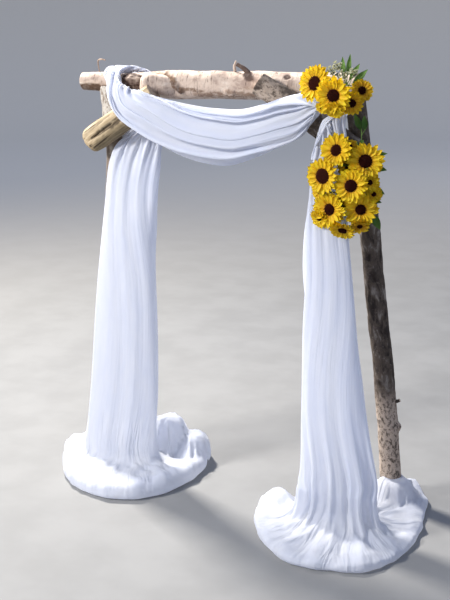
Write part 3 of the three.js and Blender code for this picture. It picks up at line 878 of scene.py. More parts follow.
@dataclass
class LogFrame:
    """The two posts, the forked crossbar and the two braces."""

    crossbar_height: float = 1976.0
    brace_setback: float = -98.0
    bark_dark: BarkFinish = BarkFinish(
        "bark_dark", (0.030, 0.022, 0.018), (0.115, 0.088, 0.068), (0.33, 0.29, 0.25),
        (0.030, 0.020, 0.016), (0.56, 0.45, 0.36), 0.45, 26, 0.35, 0.25, 0.88)
    bark_grey: BarkFinish = BarkFinish(
        "bark_grey", (0.075, 0.055, 0.042), (0.24, 0.19, 0.15), (0.46, 0.41, 0.35),
        (0.05, 0.033, 0.025), (0.62, 0.58, 0.52), 0.45, 24, 0.35, 0.2, 0.88)
    bark_pale: BarkFinish = BarkFinish(
        "bark_pale", (0.36, 0.27, 0.22), (0.60, 0.48, 0.39), (0.76, 0.67, 0.57),
        (0.060, 0.032, 0.024), (0.25, 0.155, 0.095), 0.8, 17, 0.2, 0.8, 0.8)
    split_wood: TimberFinish = TimberFinish(
        "split_wood", (0.66, 0.54, 0.36), (0.40, 0.30, 0.18), (0.16, 0.125, 0.07),
        (0.035, 0.022, 0.014), False)
    sawn_end: TimberFinish = TimberFinish(
        "sawn_end", (0.70, 0.58, 0.44), (0.50, 0.38, 0.27), (0.3, 0.22, 0.14), (0.06, 0.035, 0.02), True)

    def build(self) -> list[Piece]:
        """Makes every log.

        Returns:
            The five pieces.
        """
        dark, grey, pale, split, sawn = (finish.material() for finish in (
            self.bark_dark, self.bark_grey, self.bark_pale, self.split_wood, self.sawn_end))
        return [
            self.finished("right_post", self.right_post(), dark, sawn, "bark_dark"),
            self.finished("left_post", self.left_post(), grey, sawn, "bark_dark"),
            self.finished("crossbar", self.crossbar(), pale, sawn, "bark_pale"),
            self.finished("left_brace", self.left_brace(), split, sawn, "split_wood"),
            self.finished("right_brace", self.right_brace(), dark, sawn, "bark_dark"),
        ]

    @staticmethod
    def finished(node: str, shape: Shape, skin: Material, sawn: Material, slot: str) -> Piece:
        """Makes a log's piece, with sawn wood on its ends.

        Args:
            node: The solid node that it stands for.
            shape: The log, whose "end" map is 1 on the ends.
            skin: Its bark or its split wood.
            sawn: Material of its ends.
            slot: The record's material slot.

        Returns:
            The piece.
        """
        piece = make_object(f"log_{node}", shape, [skin, sawn])
        at_end = shape.numbers["end"]
        for polygon in piece.data.polygons:
            if any(at_end[i] > 0.5 for i in polygon.vertices):
                polygon.material_index = 1
                polygon.use_smooth = False
        return finish_piece(piece, slot, node)

    def right_post(self) -> Shape:
        """The dark post, painted paler near the ground as if lit there, its upper part left dark as in shade,
        with a knot and a short stub.

        Returns:
            The log's shape.
        """
        trunk = LogShape(
            [(0, 0, -40, 52, 52), (-31, 0, 338, 50, 50), (-46, 0, 470, 51, 50), (-71, 0, 695, 48, 48),
             (-106, 0, 922, 47, 47), (-149, 0, 1252, 47, 47), (-193, 0, 1566, 46, 46),
             (-232, 0, 1817, 46, 46), (-252, 0, 1960, 46, 46)],
            2.1, Texture.ROUGH,
            (Knot(0.155, 0.1, 15, 42), Knot(0.47, 2.6, 5, 40), Knot(0.33, -1.9, 6, 24, 0.9),
             Knot(0.58, -1.2, 6, 26, 0.8), Knot(0.2, -2.2, 4, 18, 0.7)),
            seed=11, foot_on_ground=True).shape()
        height = trunk.vertices[:, 2] + 0.05 * Lattice(5).layered(trunk.vertices, 0.12, 2)
        # painted light: paler near the ground, where the post stands in light; its upper part stands in shade
        trunk.numbers["bare"] = 0.85 * (1 - smooth(0.44, 0.60, height))
        stub = LogShape([(-20, -6, 500, 10, 10), (6, -10, 512, 8.5, 8.5), (18, -12, 520, 7, 7)], 0,
                        Texture.ROUGH, seed=12, ring_step=2.5, side_step=3.5, end_rings=2).shape()
        return merged([trunk, stub])

    def left_post(self) -> Shape:
        """The greyer post, mostly behind the cloth.

        Returns:
            The log's shape.
        """
        trunk = LogShape(
            [(-1590, 0, -40, 55, 55), (-1572, 0, 240, 53, 53), (-1548, 0, 550, 51, 51),
             (-1500, 0, 1000, 50, 50), (-1464, 0, 1380, 49, 49), (-1450, 0, 1650, 48, 48),
             (-1468, 0, 1830, 47, 47), (-1478, 0, 1960, 47, 47)],
            4.4, Texture.ROUGH,
            (Knot(0.3, -1.2, 9, 40), Knot(0.62, 0.6, 7, 34), Knot(0.45, 2.4, 7, 26, 0.8)),
            seed=21, foot_on_ground=True).shape()
        height = trunk.vertices[:, 2] + 0.05 * Lattice(6).layered(trunk.vertices, 0.12, 2)
        # paler near the ground and above 1.7 m, just under the crossbar
        trunk.numbers["bare"] = 0.8 * (1 - smooth(0.30, 0.52, height)) + 0.9 * smooth(1.70, 1.80, height)
        return trunk

    def crossbar(self) -> Shape:
        """The pale forked log, with its sawn fork, its torn crotch, its scars, its twigs, and painted shade
        under its left end and along its underside.

        Returns:
            The log's shape.
        """
        z = self.crossbar_height
        trunk = LogShape(
            [(-1618, 0, z + 1, 43, 43), (-1500, 2, z + 1, 48, 48), (-1380, 6, z - 2, 50, 50),
             (-1250, 8, z - 6, 57, 57), (-1140, 4, z - 7, 66, 64), (-1000, 0, z - 6, 64, 64),
             (-820, -2, z - 5, 63, 63), (-640, 0, z - 3, 65, 64), (-450, 3, z, 63, 62),
             (-300, 2, z + 2, 61, 61), (-235, 0, z + 4, 59, 59)],
            0.6, Texture.PALE,
            (Knot(0.55, -2.6, 7, 30), Knot(0.66, 2.4, 8, 45), Knot(0.75, 1.9, 6, 26), Knot(0.34, 2.0, 9, 40)),
            # the first mark, under the left end, and the long band at x -800 along the underside are painted
            # shade; the others are scars, ridges and stains
            (Mark(-1562, 1946, 90, 24, 2, -2, 0.75, 1.0), Mark(-1128, 1990, 66, 26, -34, 7, 0.25, 1.0),
             Mark(-1090, 1960, 46, 18, -44, 5, 0.7, 1.0), Mark(-557, 2017, 16, 12, 0, -3, 1.0),
             Mark(-830, 1944, 24, 20, 0, 9, 0.0, 0.6), Mark(-800, 1934, 230, 17, 1, 0, 0.12, 0.75),
             Mark(-742, 2018, 30, 20, -35, 4, 0.9), Mark(-1204, 2022, 50, 10, -10, 2, 0.2, 0.9),
             Mark(-1010, 1950, 70, 9, -6, 0, 0.3, 0.8), Mark(-930, 1926, 90, 9, 0, 0, 0.2, 0.5),
             Mark(-700, 1962, 60, 8, -8, 0, 0.25, 0.6)),
            seed=31).shape()
        fork = LogShape(
            [(-1130, -14, z - 8, 52, 52), (-1190, -48, z - 6, 50, 50), (-1240, -72, z - 2, 49, 49),
             (-1262, -83, z - 1, 40, 40), (-1272, -88, z, 22, 22)],
            0, Texture.PALE, seed=32, ring_step=3).shape()
        crotch = LogShape(
            [(-1232, -30, z - 6, 36, 34), (-1300, -42, z + 2, 37, 34), (-1350, -38, z + 7, 33, 30),
             (-1386, -28, z + 10, 23, 21)],
            0, Texture.GNARLED, seed=33, side_step=3).shape()
        # darkened almost to black all over, where the crotch sits between the fork and the cloth
        crotch.numbers["stain"] = np.clip(0.9 + 0.5 * Lattice(9).at(crotch.vertices, 0.014), 0, 1)
        twigs = [
            LogShape([(-1528, 0, z + 40, 3.5, 3.5), (-1534, 0, 2078, 2.8, 2.8), (-1518, -2, 2084, 2.2, 2.2),
                      (-1494, -2, 2080, 1.6, 1.6)], 0,
                     Texture.PALE, seed=34, ring_step=3, side_step=2).shape(),
            LogShape([(-820, -4, z + 50, 8, 8), (-824, -8, 2062, 6.5, 6.5), (-816, -10, 2086, 4.5, 4.5)], 0,
                     Texture.PALE, seed=35, ring_step=3, side_step=4).shape(),
            LogShape([(-742, -22, z + 44, 14, 14), (-770, -26, 2052, 11, 11), (-806, -28, 2072, 8, 8)], 0,
                     Texture.ROUGH, seed=36, ring_step=3, side_step=5).shape(),
        ]
        twigs[0].numbers["bare"] += 0.8
        twigs[2].numbers["stain"] += 0.9
        return merged([trunk, fork, crotch, *twigs])

    def left_brace(self) -> Shape:
        """The split log under the crossbar's left end, with painted shade on its lower face.

        Returns:
            The log's shape.
        """
        y = self.brace_setback
        return LogShape(
            [(-1551, y, 1687, 40, 34), (-1536, y, 1697, 56, 45), (-1500, y, 1721, 62, 50),
             (-1372, y - 2, 1806, 62, 50), (-1190, y, 1928, 56, 46)],
            1.2, Texture.SPLIT, (),
            # the fourth mark paints shade along the lower face; the others are dark cracks
            (Mark(-1448, 1758, 86, 9, 36, -13, 1.0), Mark(-1350, 1833, 70, 5, 35, -6, 0.8),
             Mark(-1372, 1797, 46, 13, 40, -8, 0.9), Mark(-1350, 1764, 330, 34, 34, 0, 0.0, 1.0),
             Mark(-1475, 1783, 90, 4, 36, -4, 0.5)),
            seed=41, squareness=2.9).shape()

    def right_brace(self) -> Shape:
        """The dark brace behind the cloth at the right corner, its upper end painted paler, as wood without
        bark and as painted light above its shaded lower part.

        Returns:
            The log's shape.
        """
        y = self.brace_setback
        return LogShape(
            [(-674, y, 1990, 52, 44), (-380, y, 1812, 58, 50), (-152, y, 1655, 60, 50)],
            3.3, Texture.ROUGH, (),
            # the first mark paints the upper end paler: wood without bark, and painted light above the lower
            # part, which lies in shade
            (Mark(-630, 1965, 110, 60, -31, 0, 0.0, 0.6), Mark(-664, 1990, 30, 26, 60, 0, 0.75)),
            seed=42).shape()


# Cloth

@dataclass(frozen=True)
class Station:
    """Where the cloth passes: its two edges, half its depth and how it is folded there.

    Edges and depth are in millimetres. curl is 1 where the cloth's outer side bulges, -1 where
    its inner side does and 0 where it lies flat; fine is the share of fine folds among the broad
    ones, calm how much smoother the bulging side is than the far one, and lean how far the folds
    lie over.
    """

    edge_a: Triple
    edge_b: Triple
    depth: float
    curl: float
    fine: float
    calm: float
    lean: float = 0.0

    def row(self) -> list[float]:
        """The station as one row of numbers."""
        return [*self.edge_a, *self.edge_b, self.depth, self.curl, self.fine, self.calm, self.lean]


ROUTE = [
    Station((-1604, -140, 160), (-1192, -140, 160), 84, -1, 0.10, 0.95),
    Station((-1584, -139, 260), (-1194, -139, 260), 78, -1, 0.05, 0.97),
    Station((-1562, -136, 440), (-1182, -136, 440), 74, -1, 0.05, 0.97),
    Station((-1526, -132, 820), (-1180, -132, 820), 68, -1, 0.05, 0.97),
    Station((-1492, -126, 1165), (-1190, -122, 1165), 58, -1, 0.12, 0.96),
    Station((-1474, -112, 1390), (-1190, -106, 1400), 45, -1, 0.25, 0.93),
    Station((-1457, -96, 1600), (-1186, -66, 1600), 26, -1, 0.6, 0.85),
    Station((-1438, -72, 1672), (-1190, -12, 1690), 18, -0.9, 0.8, 0.6),
    Station((-1404, -20, 1735), (-1195, 20, 1745), 15, -0.6, 0.9, 0.2),
    Station((-1396, 42, 1800), (-1205, 52, 1800), 14, -0.4, 0.95, 0.1),
    Station((-1448, 74, 1960), (-1228, 80, 1962), 11, 0, 1.0, 0),
    Station((-1475, 46, 2014), (-1255, 56, 2022), 12, 0.3, 1.0, 0),
    Station((-1492, 0, 2037), (-1340, 0, 2043), 12, 0.5, 1.0, 0),
    Station((-1480, -50, 2018), (-1385, -58, 2028), 12, 0.6, 1.0, 0),
    Station((-1450, -92, 1968), (-1366, -110, 1996), 13, 0.8, 1.0, 0.1),
    Station((-1415, -150, 1895), (-1318, -150, 1972), 16, 0.9, 0.9, 0.2, 0.2),
    Station((-1342, -186, 1830), (-1235, -160, 1944), 22, 1, 0.6, 0.3, 0.5),
    Station((-1262, -190, 1769), (-1105, -164, 1912), 28, 1, 0.45, 0.3, 0.7),
    Station((-1130, -186, 1684), (-985, -160, 1891), 32, 1, 0.34, 0.2, 0.8),
    Station((-965, -182, 1630), (-855, -156, 1877), 34, 1, 0.26, 0.15, 0.8),
    Station((-800, -178, 1618), (-735, -152, 1878), 34, 1, 0.24, 0.15, 0.8),
    Station((-662, -176, 1664), (-635, -152, 1904), 32, 1, 0.28, 0.2, 0.8),
    Station((-555, -176, 1714), (-540, -154, 1938), 28, 1, 0.38, 0.3, 0.7),
    Station((-450, -178, 1770), (-450, -162, 1960), 24, 1, 0.5, 0.3, 0.5),
    Station((-366, -180, 1862), (-372, -172, 1972), 21, 1, 0.9, 0.1, 0.2),
    Station((-322, -182, 1888), (-326, -178, 1976), 20, 1, 1.0, 0),
    Station((-306, -183, 1880), (-282, -180, 1974), 22, 1, 1.0, 0),
    Station((-303, -184, 1870), (-240, -182, 1940), 23, 1, 1.0, 0),
    Station((-325, -184, 1860), (-226, -182, 1888), 23, 1, 1.0, 0),
    Station((-350, -184, 1840), (-238, -184, 1840), 22, 1, 1.0, 0.1),
    Station((-384, -192, 1700), (-224, -192, 1705), 24, 1, 0.8, 0.3),
    Station((-400, -202, 1500), (-210, -202, 1505), 28, 1, 0.5, 0.85),
    Station((-410, -222, 1317), (-198, -222, 1325), 32, 1, 0.25, 0.95),
    Station((-394, -280, 968), (-142, -280, 985), 42, 1, 0.1, 0.97),
    Station((-373, -360, 545), (-68, -360, 570), 56, 1, 0.15, 0.94),
    Station((-358, -428, 290), (8, -428, 310), 68, 1, 0.45, 0.72),
    Station((-370, -452, 200), (34, -452, 205), 76, 1, 0.65, 0.4),
]
BEHIND_CROSSBAR = 10  # numbers of the stations where the cloth's lengths meet
INTO_CORNER = 25


@dataclass(frozen=True)
class Heap:
    """Cloth bunched up on a puddle: its place, half its size and its height, in millimetres."""

    x: float
    y: float
    wide: float
    deep: float
    height: float

    def rise(self, flat: Array, noise: Lattice) -> Array:
        """How much higher the cloth lies, in metres, with folds that run down the heap.

        Args:
            flat: Points on the ground, in metres.
            noise: The puddle's noise.

        Returns:
            One height for each point.
        """
        x, y = (flat[:, 0] / MM - self.x) / self.wide, (flat[:, 1] / MM - self.y) / self.deep
        phi = np.arctan2(y, x)
        folds = 0.05 * np.sin(7 * phi + 0.7) + 0.06 * np.sin(12 * phi + 2) + 0.06 * np.sin(19 * phi + 4)
        crown = 1 + 0.06 * noise.layered(flat, 0.06, 2)
        return self.height * MM * (1 - smooth(0.45, 1.1, np.hypot(x, y) * (1 + folds))) * crown


@dataclass
class Puddle:
    """Where an end of the cloth spreads on the ground."""

    outline: Sequence[tuple[float, float]]  # millimetres on the ground
    profile: Sequence[tuple[float, float, float]]  # share of the run, share outwards, height in mm
    length: float  # metres of cloth
    folds: float  # millimetres
    seed: int
    closing: float = 1.06  # how far its edges lap over behind
    train: float = 0.2  # how much of the column's folds run on over it
    sharp: float = 0.0  # 1 where its folds have thin crests
    heaps: Sequence[Heap] = ()

    def rings(self, base: Array, fold: Array, count: int) -> Array:
        """Rows of the cloth from its column to its hem.

        Args:
            base: The column's last row of points, without folds.
            fold: What the folds add to it.
            count: Number of rows.

        Returns:
            The rows, from the column outwards, in metres.
        """
        centre = base.mean(axis=0)
        closed = [*self.outline, *self.outline[:3]]
        edge = Spline([(x * MM, y * MM, 0) for x, y in closed])
        share = np.linspace(1 / (len(closed) - 1), (len(self.outline) + 1) / (len(closed) - 1), 720)
        away = edge.at(share)[:, :2] - centre[:2]
        angles = np.arctan2(away[:, 1], away[:, 0])
        order = np.argsort(angles)
        angles, reach = angles[order], np.linalg.norm(away, axis=1)[order]
        around = base[:, :2] - centre[:2]
        turn = np.unwrap(np.arctan2(around[:, 1], around[:, 0]))
        middle, span = turn[len(turn) // 2], turn[-1] - turn[0]
        even = middle + np.sign(span) * math.pi * self.closing * np.linspace(-1, 1, len(turn))
        keys = np.array(self.profile, float)
        p = np.linspace(0, 1, count + 1)[1:]
        smoothed = Spline(keys * (1000, 1000, 1)).at(np.linspace(0, 1, 400))
        share_out = np.interp(p, smoothed[:, 0] * MM, smoothed[:, 1] * MM)
        height = np.interp(p, smoothed[:, 0] * MM, smoothed[:, 2]) * MM
        noise = Lattice(self.seed)
        pleats = (fold[:, :2] * unit(around)).sum(axis=1)
        rows = []
        for rho, z in zip(share_out, height):
            out = np.array(max(rho, 0.0))
            angle = turn + (even - turn) * smooth(0.0, 0.5, out)
            far = np.interp((angle + math.pi) % (2 * math.pi) - math.pi, angles, reach, period=2 * math.pi)
            wave = self.ripple(noise, angle, out * far, self.sharp)
            rim = centre[:2] + np.column_stack([np.cos(angle), np.sin(angle)]) * far[:, None]
            blend = np.clip(out + 0.03 * wave * smooth(0.1, 0.6, out), 0, 1.02)[:, None]
            flat = base[:, :2] * (1 - blend) + rim * blend + fold[:, :2] * (1 - smooth(0.0, 0.45, out))
            lying = np.column_stack([flat, np.zeros(len(flat))])
            rises = [heap.rise(lying, noise) for heap in self.heaps]
            heaped = np.max([np.zeros(len(flat)), *rises], axis=0) * smooth(0.0, 0.08, out)
            lift = self.folds * MM * wave * smooth(0.0, 0.2, out) * smooth(0.0, 0.03, np.array(z))
            lift = lift + self.train * pleats * smooth(0.05, 0.3, out) * (1 - smooth(0.75, 1.0, out))
            lift = z + lift * (1 - 0.7 * smooth(0.03, 0.12, heaped)) + heaped
            rows.append(np.column_stack([flat, np.maximum(lift, 0.003)]))
        return np.array(rows)

    @staticmethod
    def ripple(noise: Lattice, angle: Array, distance: Array, sharp: float) -> Array:
        """Folds that run outwards and wander, from -1 to 1.

        Args:
            noise: The puddle's noise.
            angle: Direction of each point from the column.
            distance: Its distance in metres.
            sharp: 1 for thin crests, 0 for round ones.

        Returns:
            One height for each point.
        """
        around = np.column_stack([np.cos(angle), np.sin(angle), distance * 1.2])
        wander = noise.at(around, (0.6, 0.6, 0.25))
        first, second = 13 * angle + 3.2 * wander + 5 * distance, 22 * angle - 2.5 * wander + 9 * distance
        folds = np.sin(first) * 0.5 + np.sin(second) * 0.3
        crests = 1.15 - 1.2 * np.abs(np.sin(first / 2)) - 0.6 * np.abs(np.sin(second / 2))
        return folds * (1 - sharp) + crests * sharp + 0.45 * noise.layered(around, (0.35, 0.35, 0.12), 2)


LEFT_PUDDLE = Puddle(
    outline=[(-1775, -43), (-1676, -266), (-1560, -408), (-1398, -495), (-1213, -486), (-1073, -380),
             (-985, -142), (-980, 48), (-1060, 230), (-1200, 330), (-1370, 350), (-1540, 300),
             (-1680, 190), (-1765, 80)],
    profile=[(0.0, 0.0, 160), (0.10, 0.02, 120), (0.20, 0.10, 90), (0.34, 0.30, 82), (0.52, 0.56, 80),
             (0.70, 0.82, 84), (0.80, 0.94, 72), (0.86, 0.99, 48), (0.91, 0.99, 22), (0.95, 0.95, 6),
             (1.0, 0.86, 3)],
    length=0.72, folds=11, seed=51, heaps=[Heap(-1200, 36, 128, 96, 172), Heap(-1080, 60, 110, 120, 84)])

RIGHT_PUDDLE = Puddle(
    outline=[(-583, -235), (-569, -421), (-472, -639), (-290, -800), (-119, -805), (41, -758), (150, -600),
             (196, -400), (190, -150), (160, 60), (70, 170), (-60, 150), (-140, 10), (-240, -120),
             (-370, -180), (-490, -195)],
    profile=[(0.0, 0.0, 200), (0.12, 0.03, 140), (0.24, 0.12, 92), (0.40, 0.32, 62), (0.60, 0.60, 48),
             (0.80, 0.86, 42), (0.90, 0.97, 30), (0.95, 0.99, 14), (1.0, 0.95, 3)],
    length=0.62, folds=14, seed=52, train=0.5, sharp=0.8,
    heaps=[Heap(22, -42, 130, 110, 78), Heap(-500, -285, 80, 70, 34)])


@dataclass
class Drape:
    """The one long cloth, from its hem on the ground at the left to its hem at the right."""

    width: float = 1.5  # metres, as it came off the roll
    columns: int = 181
    row_step: float = 0.02  # metres between rows along the cloth, before they are doubled
    broad: float = 10.0  # broad folds across the cloth
    narrow: float = 23.0  # fine folds across it
    seed: int = 61
    edge_share: float = 0.93  # how far the cloth closes round a column
    fold_limit: tuple[float, float] = (6.0, 0.45)  # deepest fold: millimetres, and share of the depth
    slack: tuple[float, float] = (0.3, 0.6)  # more of it on a lying fold, and on the far side
    tip: float = 62.0  # degrees that a lying fold leans over
    steepest: float = 2.2  # radians that the cloth turns from its section at most
    front: float = 0.52  # share of a section on each side of its middle that stays smooth
    turning: float = 0.16  # share of the cloth over which the folds deepen beside it
    inset: tuple[float, float] = (0.15, 0.8)  # share of a fold that lies inside, more where fine
    finish: ChiffonFinish = ChiffonFinish()

    def build(self) -> list[Piece]:
        """Makes the cloth in three lengths.

        Returns:
            The pieces.
        """
        rows, left, right = self.layout()
        rows = self.doubled(rows)
        run = np.arange(len(rows)) * self.row_step / 2
        cloth_map = np.zeros(rows.shape)
        cloth_map[..., 0] = run[:, None]
        cloth_map[..., 1] = np.linspace(0, self.width, self.columns)[None, :]
        cloth_map[..., 2] = 1 - smooth(0.15, 0.45, rows[..., 2])
        material = self.finish.material()
        lengths = [
            ("cloth_left", 0, 2 * left, ("drape_left_puddle", "drape_left_fall")),
            ("cloth_swag", 2 * left, 2 * right, ("drape_left_wrap", "drape_swag")),
            ("cloth_right", 2 * right, len(rows) - 1,
             ("drape_corner_gather", "drape_right_fall", "drape_right_puddle")),
        ]
        pieces = []
        for name, start, end, nodes in lengths:
            points = rows[start:end + 1]
            shape = Shape(points.reshape(-1, 3), grid_faces(len(points), self.columns, False), {},
                          {"cloth": cloth_map[start:end + 1].reshape(-1, 3)})
            piece = finish_piece(make_object(name, shape, [material]), "sheer_cloth", *nodes)
            length = round(float(run[end] - run[start]), 3)
            arcs = np.linalg.norm(np.diff(points, axis=1), axis=2).sum(axis=1)
            LOG.info("%s: %.2f m of cloth, %.2f to %.2f m across", name, length, arcs.min(), arcs.max())
            pieces.append(piece)
        return pieces

    def layout(self) -> tuple[Array, int, int]:
        """The cloth's rows of points.

        Returns:
            The rows, and the rows where it passes behind the crossbar and into the corner.
        """
        line = np.array([s.row() for s in ROUTE])
        middle = (line[:, :3] + line[:, 3:6]) / 2
        route = Spline(np.column_stack([middle, line]))
        t = route.evenly(int(route.length(np.linspace(0, 1, 2000)) * MM / self.row_step))
        base, fold = self.sections(route, t)
        left_rows = int(LEFT_PUDDLE.length / self.row_step)
        right_rows = int(RIGHT_PUDDLE.length / self.row_step)
        left = LEFT_PUDDLE.rings(base[0], fold[0], left_rows)
        right = RIGHT_PUDDLE.rings(base[-1], fold[-1], right_rows)
        behind = left_rows + int(np.searchsorted(t, BEHIND_CROSSBAR / (len(ROUTE) - 1)))
        corner = left_rows + int(np.searchsorted(t, INTO_CORNER / (len(ROUTE) - 1)))
        return np.concatenate([left[::-1], base + fold, right]), behind, corner

    def sections(self, route: Spline, t: Array) -> tuple[Array, Array]:
        """The rows between the two puddles, each as long as the cloth is wide.

        A row's heading swings to and fro round a smooth section, as a gathered cloth's does.

        Args:
            route: Middle, edges, depth, curl, fine, calm and lean, in millimetres.
            t: Places along the route.

        Returns:
            The rows without folds and what the folds add, in metres.
        """
        data = route.at(t)
        across = data[:, 6:9] - data[:, 3:6]
        half = np.linalg.norm(across, axis=1) / 2
        across = unit(across)
        outward = unit(np.cross(route.heading(t, 2e-3), across))
        theta = np.linspace(-math.pi, math.pi, 721) * self.edge_share
        round_a = np.sign(np.sin(theta)) * np.abs(np.sin(theta)) ** 0.85
        round_n = np.sign(np.cos(theta)) * np.abs(np.cos(theta)) ** 0.8
        flat_a = np.linspace(-1, 1, len(theta))
        bases, folds = [], []
        for i, (depth, curl, fine, calm, lean) in enumerate(data[:, 9:14]):
            bend = min(abs(curl), 1.0)
            most = self.fold_limit[0] + (self.fold_limit[1] + self.slack[0] * lean) * depth
            inside = (self.inset[0] + self.inset[1] * fine) * most * bend
            a = (half[i] - inside) * (flat_a * (1 - bend) + round_a * bend)
            n = depth * curl * round_n
            length = np.concatenate([[0], np.cumsum(np.hypot(np.diff(a), np.diff(n)))])
            heading, share = self.headings(length[-1] * MM, i * self.row_step, fine, calm)
            place = np.interp(share * length[-1], length, np.arange(len(length)))
            ground = np.column_stack([np.interp(place, np.arange(len(row)), row) for row in (a, n)])
            tangent = unit(np.gradient(ground, axis=0))
            normal = np.column_stack([-tangent[:, 1], tangent[:, 0]])
            step = self.width / MM / (self.columns - 1)
            depth_in = np.cumsum(np.sin(heading)) * step
            depth_in = depth_in - self.averaged(depth_in)
            limit = most * (1 + self.slack[1] * self.far_side(length[-1] * MM))
            depth_in = limit * np.tanh(depth_in / limit)
            slide = np.cumsum(np.cos(heading)) * step
            slide = slide - share * slide[-1]
            tip = math.radians(self.tip) * lean
            local = (tangent * (slide - math.sin(tip) * depth_in)[:, None]
                     + normal * (math.cos(tip) * depth_in)[:, None])
            bases.append(data[i, :3] + across[i] * ground[:, :1] + outward[i] * ground[:, 1:])
            folds.append(across[i] * local[:, :1] + outward[i] * local[:, 1:])
        return np.array(bases) * MM, np.array(folds) * MM

    def headings(self, span: float, run: float, fine: float, calm: float) -> tuple[Array, Array]:
        """How far the cloth turns from its smooth section, column by column.

        Args:
            span: Length of the smooth section, in metres.
            run: Place along the cloth, in metres.
            fine: Share of fine folds.
            calm: How much smoother the middle is than the edges.

        Returns:
            The headings in radians, and each column's place along the section from 0 to 1.
        """
        noise = Lattice(self.seed)
        v = np.linspace(0, 1, self.columns)
        spot = np.column_stack([v * 3, np.full(len(v), run)])
        first = self.broad * v + 0.45 * noise.at(spot, (0.8, 2.6, 1))
        second = self.narrow * v + 0.5 * noise.at(spot + 11, (0.6, 1.6, 1))
        still = 1 - calm * (1 - self.far_side(span))
        still = still * (1 + 0.5 * noise.at(spot + 5, (0.3, 0.7, 1)))
        swing = (math.sqrt(1 - 0.9 * fine) * np.sin(2 * math.pi * first)
                 + math.sqrt(0.08 + 0.92 * fine) * np.sin(2 * math.pi * second)) * still
        low, high = 0.0, 3.0
        for _ in range(22):
            size = (low + high) / 2
            reach = np.cos(np.clip(size * swing, -self.steepest, self.steepest)).mean() * self.width
            low, high = (size, high) if reach > span else (low, size)
        heading = np.clip(size * swing, -self.steepest, self.steepest)
        share = np.concatenate([[0], np.cumsum(self.averaged(np.cos(heading)))[:-1]])
        return heading, share / share[-1]

    def far_side(self, span: float) -> Array:
        """How much each column is on the side of a section that bulges less, from 0 to 1."""
        middle = self.front * span / self.width
        return smooth(middle, middle + self.turning, np.abs(np.linspace(-0.5, 0.5, self.columns)))

    def averaged(self, row: Array) -> Array:
        """A row of numbers smoothed over about one broad fold."""
        reach = int(self.columns / self.broad / 2)
        return np.convolve(np.pad(row, reach, "reflect"), np.ones(2 * reach + 1) / (2 * reach + 1), "valid")

    @staticmethod
    def doubled(points: Array) -> Array:
        """Twice as many rows, smoothly through the same points.

        Args:
            points: The rows.

        Returns:
            The rows with one more between each two.
        """
        padded = np.concatenate([2 * points[:1] - points[1:2], points, 2 * points[-1:] - points[-2:-1]])
        between = (9 * (padded[1:-2] + padded[2:-1]) - padded[:-3] - padded[3:]) / 16
        out = np.empty((2 * len(points) - 1, *points.shape[1:]))
        out[0::2] = points
        out[1::2] = between
        return out


# Whorls: copies of one mesh set round an axis by a node tree

